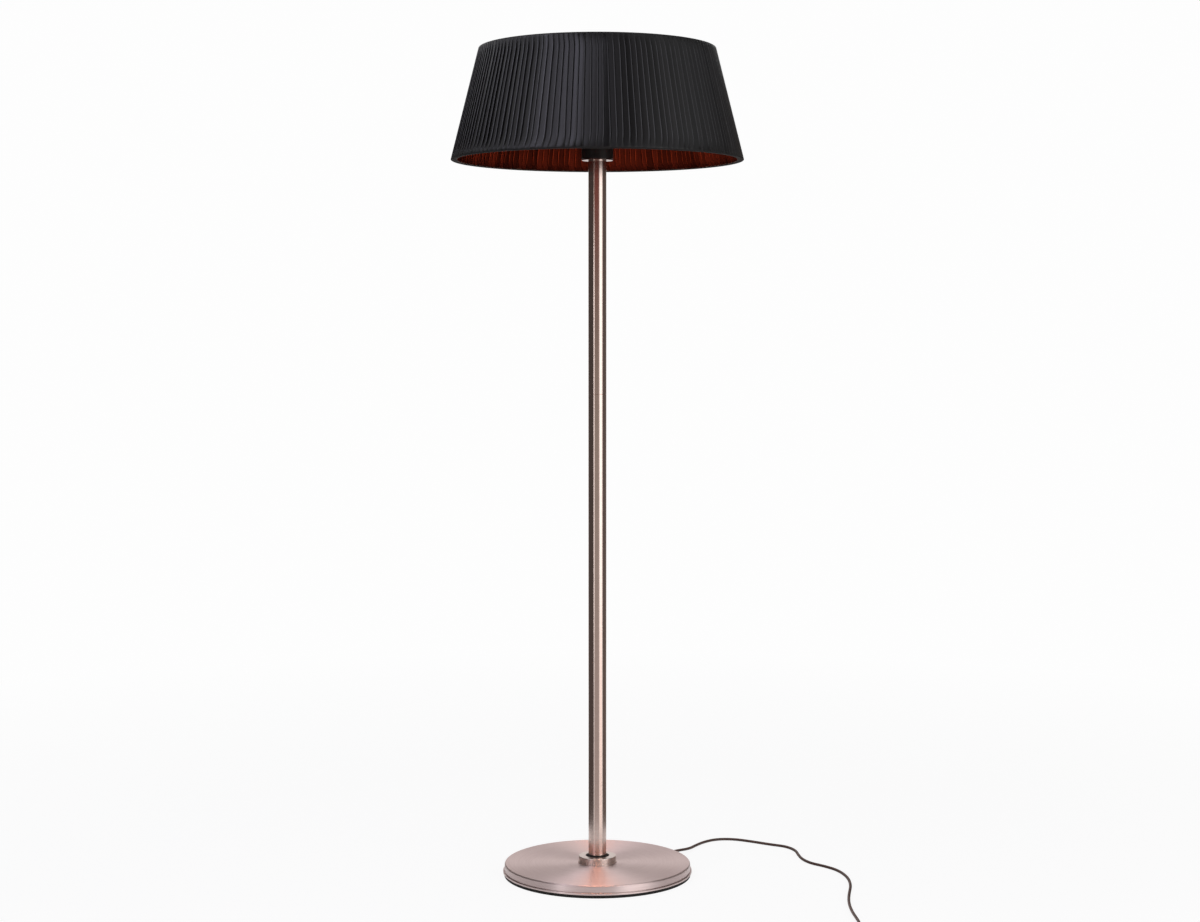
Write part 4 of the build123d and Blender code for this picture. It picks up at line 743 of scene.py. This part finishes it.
def brushed_steel(name, dark, light, rough, stretch, pitch, arc, uneven, true_normal=None):
    """Stainless steel brushed round the axis with about 180 grit. Scratches are some 0.08 mm wide, too
    fine to show, so their clusters are drawn instead, at the pitch given. It is satin, with stretched
    highlights."""
    material, tree, shader = new_finish(name, light, rough, metallic=1.0, Anisotropic=stretch)
    marks = between(tree, round_marks(tree, pitch, arc), 0.0, 1.0, *STREAKS)
    cloud = between(tree, round_marks(tree, CLOUD_PITCH * pitch, CLOUD_ARC * arc), 0.0, 1.0, *STREAKS)
    tone = add(tree, "ShaderNodeMix", {0: CLOUD_SHARE}, {2: marks, 3: cloud}).outputs[0]
    feed(tree, shader, Base_Color=between(tree, tone, dark, light))
    feed(tree, shader, Roughness=between(tree, tone, rough + uneven, rough - uneven))
    normal = true_normal(tree) if true_normal else None
    relief(tree, shader, marks, SCRATCH_DEPTH * uneven, 0.25, normal)
    across_marks(tree, shader)
    return material


# The rose cast in the spun and pole steel's tones is painted reflection of the rings' red glow, over the
# steel's own grey.
SPUN_STEEL = brushed_steel("spun_stainless_steel", "#ccb9b7", "#d8c6c4", rough=0.42, stretch=0.85,
                           pitch=0.9 * MM, arc=0.35, uneven=0.03, true_normal=turned_normal)
POLE_STEEL = brushed_steel("brushed_stainless_tube", "#c4b2ab", "#cdbbb4", rough=0.165, stretch=0.6,
                           pitch=1.2 * MM, arc=1.5, uneven=0.004)
COLLAR_STEEL = brushed_steel("turned_stainless_cup", "#cdc2bc", "#e0d6d0", rough=0.34, stretch=0.4,
                             pitch=0.9 * MM, arc=0.35, uneven=0.03)
dress(SPUN_STEEL, "base_cover")
dress(COLLAR_STEEL, "base_collar")
dress(POLE_STEEL, "lower_pole", "upper_pole")


# %% Plated and drawn metal
def bright_chrome():
    """Chromium plating on a turned washer: bright, a little smoky, with the faintest turning marks."""
    material, tree, shader = new_finish("chromium_plating", "#a79e9a", 0.16, metallic=1.0)
    feed(tree, shader, Roughness=between(tree, round_marks(tree, 1.5 * MM, 1.0), 0.12, 0.24))
    return material


def zinc_plating():
    """Bright zinc plating on screws and turned parts: pale blue-grey, cloudy, fairly dull."""
    material, tree, shader = new_finish("bright_zinc_plating", "#aeb2b6", 0.36, metallic=1.0)
    cloud = speckle(tree, 5 * MM)
    feed(tree, shader, Base_Color=between(tree, cloud, "#9a9da0", "#bfc3c6", *MIDDLE))
    feed(tree, shader, Roughness=between(tree, cloud, 0.45, 0.3, *MIDDLE))
    return material


def drawn_spring_wire():
    """Drawn spring steel, oiled: darker and a little warm, with a low shine."""
    material, tree, shader = new_finish("drawn_spring_steel", "#8d8a86", 0.32, metallic=1.0)
    feed(tree, shader, Roughness=between(tree, speckle(tree, 2 * MM), 0.25, 0.42))
    return material


def nickelled_pins():
    """Nickel plating over brass: warm white metal, with rub marks along the pin."""
    material, tree, shader = new_finish("nickel_plated_brass", "#c9c1ae", 0.22, metallic=1.0)
    feed(tree, shader, Roughness=between(tree, speckle(tree, 1.5 * MM), 0.15, 0.35))
    return material


def polished_aluminium():
    """Anodised bright aluminium, spun: a mirror with faint rings."""
    material, tree, shader = new_finish("bright_spun_aluminium", "#d9dadb", 0.14, metallic=1.0)
    feed(tree, shader, Roughness=between(tree, round_marks(tree, 1.6 * MM, 0.6), 0.08, 0.26))
    return material


dress(bright_chrome(), "pole_washer")
dress(zinc_plating(), "foot_bolts", "foot_washers", "foot_flange", "foot_set_screws", "joiner_socket",
      "joiner_plug", "hub_set_screws", "pan_screws", "reflector_spacers", "reflector_screws",
      "guard_screws", "shade_stem", "stem_nuts", "finial_nut")
dress(drawn_spring_wire(), "tip_switch_spring", "tube_clips")
dress(nickelled_pins(), "plug_pins")
dress(polished_aluminium(), "reflector")

# %% [markdown]
# ## Painted, moulded and cast pieces
#
# Black paint is not one black. Powder coat has a fine orange peel, heat-proof paint is dull and a
# little brown, a casting shows through its paint, and moulded plastic is the smoothest of all. Each
# could have a material of its own design, but they differ only in two tones, a grain and a gloss,
# so one function makes them all.

# %% Paints
CLOUD_SIZE = 30 * MM        # soft clouds in a film's tone
ROUGH_SWING = 0.08          # how far its roughness goes up and down


def coated(name, dark, light, rough, grain, depth, gloss=0.5):
    """Paint film: two close tones in soft clouds, and a grain of the given size and depth."""
    material, tree, shader = new_finish(name, light, rough, Specular_IOR_Level=gloss)
    bumps = speckle(tree, grain)
    feed(tree, shader, Base_Color=between(tree, speckle(tree, CLOUD_SIZE), dark, light, *MIDDLE))
    feed(tree, shader, Roughness=between(tree, bumps, rough - ROUGH_SWING, rough + ROUGH_SWING))
    relief(tree, shader, bumps, depth, 0.6)
    return material


# The hub's black is darker than the other black paints, with little shine.
dress(coated("matt_deep_black_paint", "#0c0a0a", "#131111", 0.5, 1.1 * MM, 0.05 * MM, gloss=0.3), "hub")
dress(coated("heat_proof_black_paint", "#161413", "#1f1c1b", 0.6, 0.9 * MM, 0.04 * MM), "heater_pan")
dress(coated("satin_black_enamel", "#141314", "#1e1d1e", 0.38, 2.5 * MM, 0.03 * MM),
      "guard_grille", "shade_bottom_ring", "shade_top_ring", "shade_struts", "shade_spider")
dress(coated("painted_cast_iron", "#262729", "#34363a", 0.62, 1.6 * MM, 0.25 * MM), "base_weight")
dress(coated("black_lining_board", "#181616", "#211e1e", 0.8, 0.7 * MM, 0.03 * MM), "shade_lining")
dress(coated("moulded_black_nylon", "#101011", "#19191a", 0.45, 0.5 * MM, 0.02 * MM),
      "tip_switch_body", "tip_switch_plunger", "switch_body")
dress(coated("steatite_ceramic", "#d5cfc2", "#e6e1d6", 0.7, 0.8 * MM, 0.05 * MM),
      "terminal_block", "tube_end_caps", "thermal_cutout")
dress(coated("glass_fibre_sleeve", "#bdb7aa", "#dad5c9", 0.75, 0.6 * MM, 0.12 * MM), "heater_leads")


# %% Rubber sheet and the rocker's plastic
def pad_rubber():
    """Matt black rubber sheet, calendered and cut: a dry surface with a fine grain."""
    material, tree, shader = new_finish("calendered_rubber_sheet", "#1d1b1a", 0.78, Specular_IOR_Level=0.3)
    feed(tree, shader, Base_Color=between(tree, speckle(tree, 8 * MM), "#171615", "#262322"))
    relief(tree, shader, speckle(tree, 0.7 * MM), 0.06 * MM, 0.5)
    return material


def glossy_rocker():
    """Polished black polycarbonate of the rocker, from a polished mould: near mirror gloss."""
    material, tree, shader = new_finish("polished_black_polycarbonate", "#0e0e10", 0.12, IOR=1.58)
    feed(tree, shader, Roughness=between(tree, speckle(tree, 4 * MM), 0.08, 0.2))
    return material


dress(pad_rubber(), "floor_pad", "collar_gasket")
dress(LEAD_RUBBER, "supply_lead", "tip_switch_lead")
dress(glossy_rocker(), "switch_rocker")

# %% [markdown]
# ## The heater
#
# Each ring is a tube of clear quartz with a coil of resistance wire inside. The wire glows orange
# and the quartz round it glows a dull red. The coil could be wound with one modifier and bent with
# another, but a helix bent round a ring is a short formula with the real number of turns.

# %% Glowing wire
GLOW_COLOUR = "#ff4a12"
WIRE_GLOW = 6.0
COOLEST = 0.75              # the dimmest stretch of wire, as a share of that
RING_HEIGHT = 1.600
RING_SPAN = math.radians(336.0)
RINGS = [(0.095, math.radians(90.0), 118), (0.145, math.radians(270.0), 180)]   # radius, opening, turns
COIL_RADIUS = 1.75 * MM
STRAND_RADIUS = 0.42 * MM
STEPS_PER_TURN = 10
STRAND_SIDES = 5


def glowing_wire():
    """Iron-chrome-aluminium resistance wire at about 900 degrees: it shines orange by itself."""
    material, tree, shader = new_finish("glowing_resistance_wire", "#5a2a1c", 0.6, metallic=0.6)
    shader.inputs["Emission Color"].default_value = linear(GLOW_COLOUR)
    hot = between(tree, speckle(tree, 40 * MM), COOLEST * WIRE_GLOW, WIRE_GLOW, *MIDDLE)
    feed(tree, shader, Emission_Strength=hot)
    return material


def wire_coil(name, radius, opening, turns, material):
    """Helix bent round a ring: the middle of the tube goes round at the ring's radius, the wire circles it
    at the coil's radius, and the strand's own section circles the wire. The three turns are added up."""
    way = np.linspace(0.0, 1.0, turns * STEPS_PER_TURN + 1)[:, None]
    ring = opening + (2 * math.pi - RING_SPAN) / 2 + RING_SPAN * way
    wind = 2 * np.pi * turns * way
    section = np.arange(STRAND_SIDES)[None, :] * 2 * np.pi / STRAND_SIDES
    reach = COIL_RADIUS + STRAND_RADIUS * np.cos(section)
    aside = STRAND_RADIUS * np.sin(section)
    out = radius + reach * np.cos(wind)
    x = out * np.cos(ring) - aside * np.sin(ring)
    y = out * np.sin(ring) + aside * np.cos(ring)
    z = RING_HEIGHT + reach * np.sin(wind)
    return surface(name, np.stack([x, y, z], axis=-1), material, wrap_columns=True)


HOT_WIRE = glowing_wire()
small_ring = wire_coil("small_wire_coil", *RINGS[0], HOT_WIRE)
large_ring = wire_coil("large_wire_coil", *RINGS[1], HOT_WIRE)
for ring in (small_ring, large_ring):
    finish_piece(ring, "stand", "glow_wire", "heating_wires")
    ring.visible_diffuse = False        # the lamp called heater_glow lights the rest for it, without specks
    ring.visible_glossy = False


# %% Quartz
QUARTZ_GLOW = 0.8


def quartz():
    """Fused quartz tube, drawn: clear with a slight haze, tinted by the glow inside."""
    material, tree, shader = new_finish("drawn_quartz_tube", "#f2b9a0", 0.08, IOR=1.46, Alpha=0.3)
    shader.inputs["Emission Color"].default_value = linear("#ff3a10")
    shader.inputs["Emission Strength"].default_value = QUARTZ_GLOW
    feed(tree, shader, Roughness=between(tree, speckle(tree, 15 * MM), 0.04, 0.2))
    return material


dress(quartz(), "quartz_tubes")

# %% [markdown]
# ## The ribbon's cloth
#
# The shade is wound with black satin ribbon, up outside the frame, over the rim and down inside. Its
# colour carries a painted highlight at the folds and painted shadow in the grooves, and inside a red-brown
# that is painted light of the rings' glow. A picture of cloth could be laid on it, but it would have to
# bend with every strand. Here each strand carries its own map, so the pattern knows where in the fold it is.

# %% Sizes of the shade
STRANDS = 144
SHADE_LOW = 1.503
SHADE_HIGH = 1.735
LOW_RADIUS = 0.305
HIGH_RADIUS = 0.246
WALL = 13.7 * MM            # thickness of the whole wound wall
FOLD = [                    # (place across the strand, height) of a knife pleat, edge folded under itself
    (0.00, 0.00), (0.06, 0.16), (0.22, 0.36), (0.44, 0.58), (0.66, 0.80), (0.84, 0.95),
    (0.95, 1.00), (1.02, 0.93), (1.045, 0.74), (1.025, 0.48), (0.985, 0.12),
]
print(STRANDS, "strands over", round(1000 * (SHADE_HIGH - SHADE_LOW)), "mm of height")

# %% Ribbon satin
ACROSS_STRAND = 22.0 * MM   # way across one strand, over its face and round its fold
THREAD_CHANGES = 9.0        # how often in a metre a bundle of threads changes
GROOVE_SHADOW = (0.0, 0.2)         # u over which the painted shadow beside the neighbour's fold fades off the face
FOLD_TURN = 0.56            # u of the middle of the folded edge
FOLD_HIGHLIGHT_SPAN = (0.46, 0.56)   # u over which the painted highlight on the fold grows, mirrored past its middle
UNDERSIDE_SHADOW = (0.84, 0.68)    # u from the painted shadow of the underside back to the folded edge's own tone
PULLED_FLAT = (26 * MM, 8 * MM)     # distances from a rim over which the strands come to lie flat
RIM_TURN = (3.5 * MM, 1.2 * MM)     # distances from a rim over which the cloth turns dull


def near_rims(tree, starts, full):
    """0 in the middle of the shade's height and 1 at both rims, between two distances from them."""
    place = add(tree, "ShaderNodeTexCoord").outputs["Object"]
    height = add(tree, "ShaderNodeSeparateXYZ", {}, {0: place}).outputs["Z"]
    from_middle = {"operation": "SUBTRACT", 1: (SHADE_LOW + SHADE_HIGH) / 2}
    off = add(tree, "ShaderNodeMath", from_middle, {0: height}).outputs[0]
    off = add(tree, "ShaderNodeMath", {"operation": "ABSOLUTE"}, {0: off}).outputs[0]
    half = (SHADE_HIGH - SHADE_LOW) / 2
    return between(tree, off, 0.0, 1.0, half - starts, half - full)


def ribbon_satin(name, shadow, light, painted_fold_highlight, gloss_level, thread, rib_depth):
    """Black polyester satin ribbon, woven with long floats along the strand: matt black, with a painted
    highlight on the folds. Threads are some 0.15 mm apart, too fine to show, so bundles of them are drawn.
    The piece's own UV map holds strands across and metres along. Within a strand, u runs from the groove
    over the face (0 to 0.5) and the folded edge (0.5 to 0.65) to the underside (up to 1); groove and
    underside are painted in shadow. shadow and light are the ends of a tone that differs at random by
    strand and thread. Where the strands are pulled flat over a rim the painted highlight and shadow fade
    out, and the turn of the rim is dull."""
    material, tree, shader = new_finish(name, light, 0.42, Specular_IOR_Level=gloss_level)
    place = add(tree, "ShaderNodeUVMap", {"uv_map": "UVMap"}).outputs[0]
    # threads, and a tone of its own for each strand
    finer = {"operation": "MULTIPLY", 1: (ACROSS_STRAND / thread, THREAD_CHANGES, 1.0)}
    along = add(tree, "ShaderNodeVectorMath", finer, {0: place}).outputs[0]
    threads = add(tree, "ShaderNodeTexNoise", {"Scale": 1.0, "Detail": 2.0}, {"Vector": along}).outputs[0]
    only_u = {"operation": "MULTIPLY", 1: (1.0, 0.0, 0.0)}
    strand = add(tree, "ShaderNodeVectorMath", only_u, {0: place}).outputs[0]
    strand = add(tree, "ShaderNodeVectorMath", {"operation": "FLOOR"}, {0: strand}).outputs[0]
    by_strand = {"noise_dimensions": "2D"}
    own = add(tree, "ShaderNodeTexWhiteNoise", by_strand, {"Vector": strand}).outputs["Value"]
    half_more = {"operation": "MULTIPLY_ADD", 1: 0.5}
    tone = add(tree, "ShaderNodeMath", half_more, {0: own, 2: threads}).outputs[0]
    cloth = between(tree, tone, shadow, light, 0.35, 1.1)
    # painted highlight on the folded edge
    within = add(tree, "ShaderNodeVectorMath", {"operation": "FRACTION"}, {0: place}).outputs[0]
    across = add(tree, "ShaderNodeSeparateXYZ", {}, {0: within}).outputs["X"]
    fold = add(tree, "ShaderNodeMath", {"operation": "PINGPONG", 1: FOLD_TURN}, {0: across}).outputs[0]
    fold = between(tree, fold, 0.0, 1.0, *FOLD_HIGHLIGHT_SPAN)
    flat = near_rims(tree, *PULLED_FLAT)
    standing = add(tree, "ShaderNodeMath", {"operation": "SUBTRACT", 0: 1.0}, {1: flat}).outputs[0]
    fold = add(tree, "ShaderNodeMath", {"operation": "MULTIPLY"}, {0: fold, 1: standing}).outputs[0]
    to_painted_highlight = {"data_type": "RGBA", 7: linear(painted_fold_highlight)}
    cloth = add(tree, "ShaderNodeMix", to_painted_highlight, {0: fold, 6: cloth}).outputs[2]
    # painted shadow in the groove and under the fold
    open_side = between(tree, across, 0.0, 1.0, *GROOVE_SHADOW)
    under = between(tree, across, 0.0, 1.0, *UNDERSIDE_SHADOW)
    lit = add(tree, "ShaderNodeMath", {"operation": "MULTIPLY"}, {0: open_side, 1: under}).outputs[0]
    lit = add(tree, "ShaderNodeMath", {"operation": "MAXIMUM"}, {0: lit, 1: flat}).outputs[0]
    to_painted_shadow = {"data_type": "RGBA", 6: linear("#020202")}
    cloth = add(tree, "ShaderNodeMix", to_painted_shadow, {0: lit, 7: cloth}).outputs[2]
    # roughness differs from strand to strand, and is higher on the turn of a rim
    dull = near_rims(tree, *RIM_TURN)
    rough = between(tree, own, 0.35, 0.49)
    rough = add(tree, "ShaderNodeMath", half_more, {0: dull, 2: rough}).outputs[0]
    feed(tree, shader, Base_Color=cloth, Roughness=rough)
    relief(tree, shader, threads, rib_depth, 0.5)
    return material


# The third colour of each satin is its painted fold highlight.
OUTER_SATIN = ribbon_satin("black_satin_ribbon", "#0e0e0f", "#1f1f21", "#5a5a60", gloss_level=0.34,
                           thread=0.9 * MM, rib_depth=0.06 * MM)
# The inside run is the same black ribbon: its red-brown tones are painted light of the rings' red glow.
INNER_SATIN_PAINTED_GLOW = ribbon_satin("black_satin_ribbon_inside_painted_glow", "#0c0504", "#2f120c", "#4c2012", gloss_level=0.0,
                           thread=0.9 * MM, rib_depth=0.10 * MM)
print("cloth:", OUTER_SATIN.name, "and", INNER_SATIN_PAINTED_GLOW.name)

# %% [markdown]
# ## The wound shade
#
# Outside, each strand lies on its neighbour like a knife pleat, with one folded edge standing proud
# and its shadow beside it. Near the rims the strands are pulled flat. No two strands are alike:
# widths differ, some lean, and some nearly cover their neighbours.
#
# Ribbon could be draped by a cloth simulation, but this ribbon is taut, so the winding alone sets
# its shape. A strand is a function of two parameters: across it runs a short profile of (place,
# height) that folds back under itself at the edge, and along it the strand's two edges drift.

# %% Strands
LEAN_LIMIT = 0.3            # shares of a strand's width that an edge may wander
HEIGHT_LIMITS = (0.35, 1.5) # lowest and highest pleat, as shares of the usual one


def shade_radius(z):
    """Radius of the shade's outline at a height: a straight line from the lower rim to the upper one."""
    return LOW_RADIUS + (HIGH_RADIUS - LOW_RADIUS) * (z - SHADE_LOW) / (SHADE_HIGH - SHADE_LOW)


def drift(rng, rows, amount):
    """Smooth random wander for each strand: four random values down its length, joined by a cubic."""
    knots = rng.normal(0.0, amount, (4, STRANDS))
    share = np.linspace(0.0, 1.0, rows)
    rest = 1 - share
    powers = np.stack([rest ** 3, 3 * share * rest ** 2, 3 * share ** 2 * rest, share ** 3])
    return powers.T @ knots


def strand_grid(rng, rows, lean, uneven, flat):
    """Across and height of every point of the pleats: rows along the strands by strands times profile
    points. flat is 0 where the pleats stand and 1 where the strands are pulled flat over a rim."""
    place, height = np.array(FOLD).T
    even = np.arange(len(FOLD)) / len(FOLD)
    edges = np.arange(STRANDS)[None, :] + np.clip(drift(rng, rows, lean), -LEAN_LIMIT, LEAN_LIMIT)
    width = np.roll(edges, -1, axis=1) - edges
    width[:, -1] += STRANDS
    size = np.clip(1.0 + drift(rng, rows, uneven), *HEIGHT_LIMITS)
    keep = (1.0 - flat)[:, None, None]
    across = edges[:, :, None] + width[:, :, None] * (keep * place + (1.0 - keep) * even)
    rise = 1.0 - keep * size[:, :, None] * (1.0 - height)
    return across.reshape(rows, -1), rise.reshape(rows, -1)


def strand_uv(heights, insets):
    """UV map: u counts strands and shares of the fold's profile, v is metres along, with one more row and
    column where the grid closes."""
    steps = np.hypot(np.diff(heights), np.diff(insets))
    v = np.concatenate([[0.0], np.cumsum(steps), [steps.sum() + 0.01]])
    u = np.arange(STRANDS * len(FOLD) + 1) / len(FOLD)
    return np.stack(np.meshgrid(u, v), axis=-1)


def wound_skin(name, heights, insets, across, depths, material):
    """Closed skin of strands: radius = outline - inset - depth, at the angle of each point's place."""
    angle = across * 2 * np.pi / STRANDS
    radius = (shade_radius(heights) - insets)[:, None] - depths
    z = np.broadcast_to(heights[:, None], radius.shape)
    grid = np.stack([radius * np.cos(angle), radius * np.sin(angle), z], axis=-1)
    return surface(name, grid, material, strand_uv(heights, insets), wrap_rows=True, wrap_columns=True)


# %% Outer run, folded over both rims
RIM_LIFT = 2.0 * MM         # how far up the wall the rounding of a rim reaches
RIM_STEPS = 9
PLEAT_DEPTH = 2.9 * MM
OUTER_BACK = 4.2 * MM       # inset of the back of the outer run
BACK_STEP = 4.0 * MM        # how far from a rim the back steps in to there
STANDS_AT = 34.0 * MM       # distance from a rim at which the pleats stand fully
WALL_FLAT = 0.92            # how flat the strands get on the wall: a trace of the pleats is left
RIM_FLAT = 0.95             # and over a rim
CROWDING = 0.09             # how much closer the rows lie near the rims


def outer_run():
    """Closed skin. Its rows go up the outside, over the upper rim, down the back and under the lower rim.
    The rims are half ellipses as wide as the wall, and depth = pleat depth * (1 - rise)."""
    rng = np.random.default_rng(7)
    share = np.linspace(0.0, 1.0, 26)
    share -= CROWDING * np.sin(2 * np.pi * share)
    wall = SHADE_LOW + RIM_LIFT + share * (SHADE_HIGH - SHADE_LOW - 2 * RIM_LIFT)
    turn = np.linspace(0.0, np.pi, RIM_STEPS + 2)[1:-1]
    inset_rim = (1.0 - np.cos(turn)) * WALL / 2
    lift_rim = np.sin(turn) * RIM_LIFT
    back = [wall[-1], wall[-1] - BACK_STEP, wall[0] + BACK_STEP, wall[0]]
    heights = np.concatenate([wall, wall[-1] + lift_rim, back, wall[0] - lift_rim[::-1]])
    inset_back = [WALL, OUTER_BACK, OUTER_BACK, WALL]
    insets = np.concatenate([np.zeros(len(wall)), inset_rim, inset_back, inset_rim[::-1]])
    reach = np.clip(np.minimum(wall - wall[0], wall[-1] - wall) / STANDS_AT, 0.0, 1.0)
    flat_wall = WALL_FLAT * (1.0 - reach * (2.0 - reach))
    flat_rim = np.full(RIM_STEPS, RIM_FLAT)
    flat = np.concatenate([flat_wall, flat_rim, np.ones(len(back)), flat_rim])
    across, rise = strand_grid(rng, len(heights), lean=0.14, uneven=0.22, flat=flat)
    return wound_skin("outer_ribbon", heights, insets, across, PLEAT_DEPTH * (1.0 - rise), OUTER_SATIN)


outer_ribbon = outer_run()
finish_piece(outer_ribbon, "stand", "ribbon", "shade_ribbon")
print("outer run:", len(outer_ribbon.data.polygons), "faces")

# %% Inner run
INNER_PLEAT = 1.7 * MM
INNER_LOW = SHADE_LOW + 1.6 * MM
INNER_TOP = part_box("shade_inner_run")[1][2]
INNER_BACK = 10.9 * MM      # inset of the back of the inner run
INNER_STANDS_AT = 12.0 * MM
INNER_FLAT = 0.9


def inner_run():
    """Closed skin whose rows go down the inside and up the back. Its pleats stand inwards, so their grooves
    lie further out: depth = -pleat * (1 - rise). The back is plain."""
    rng = np.random.default_rng(11)
    wall = np.linspace(INNER_TOP, INNER_LOW, 16)
    heights = np.concatenate([wall, [INNER_LOW, INNER_TOP]])
    insets = np.concatenate([np.full(len(wall), WALL), [INNER_BACK, INNER_BACK]])
    reach = np.clip(np.minimum(wall - INNER_LOW, INNER_TOP - wall) / INNER_STANDS_AT, 0.0, 1.0)
    flat = np.concatenate([INNER_FLAT * (1.0 - reach), [1.0, 1.0]])
    across, rise = strand_grid(rng, len(heights), lean=0.18, uneven=0.3, flat=flat)
    depths = -INNER_PLEAT * (1.0 - rise) * (insets == WALL)[:, None]
    return wound_skin("inner_ribbon", heights, insets, across, depths, INNER_SATIN_PAINTED_GLOW)


inner_ribbon = inner_run()
finish_piece(inner_ribbon, "stand", "inner_ribbon", "shade_inner_run")
print("inner run:", len(inner_ribbon.data.polygons), "faces")
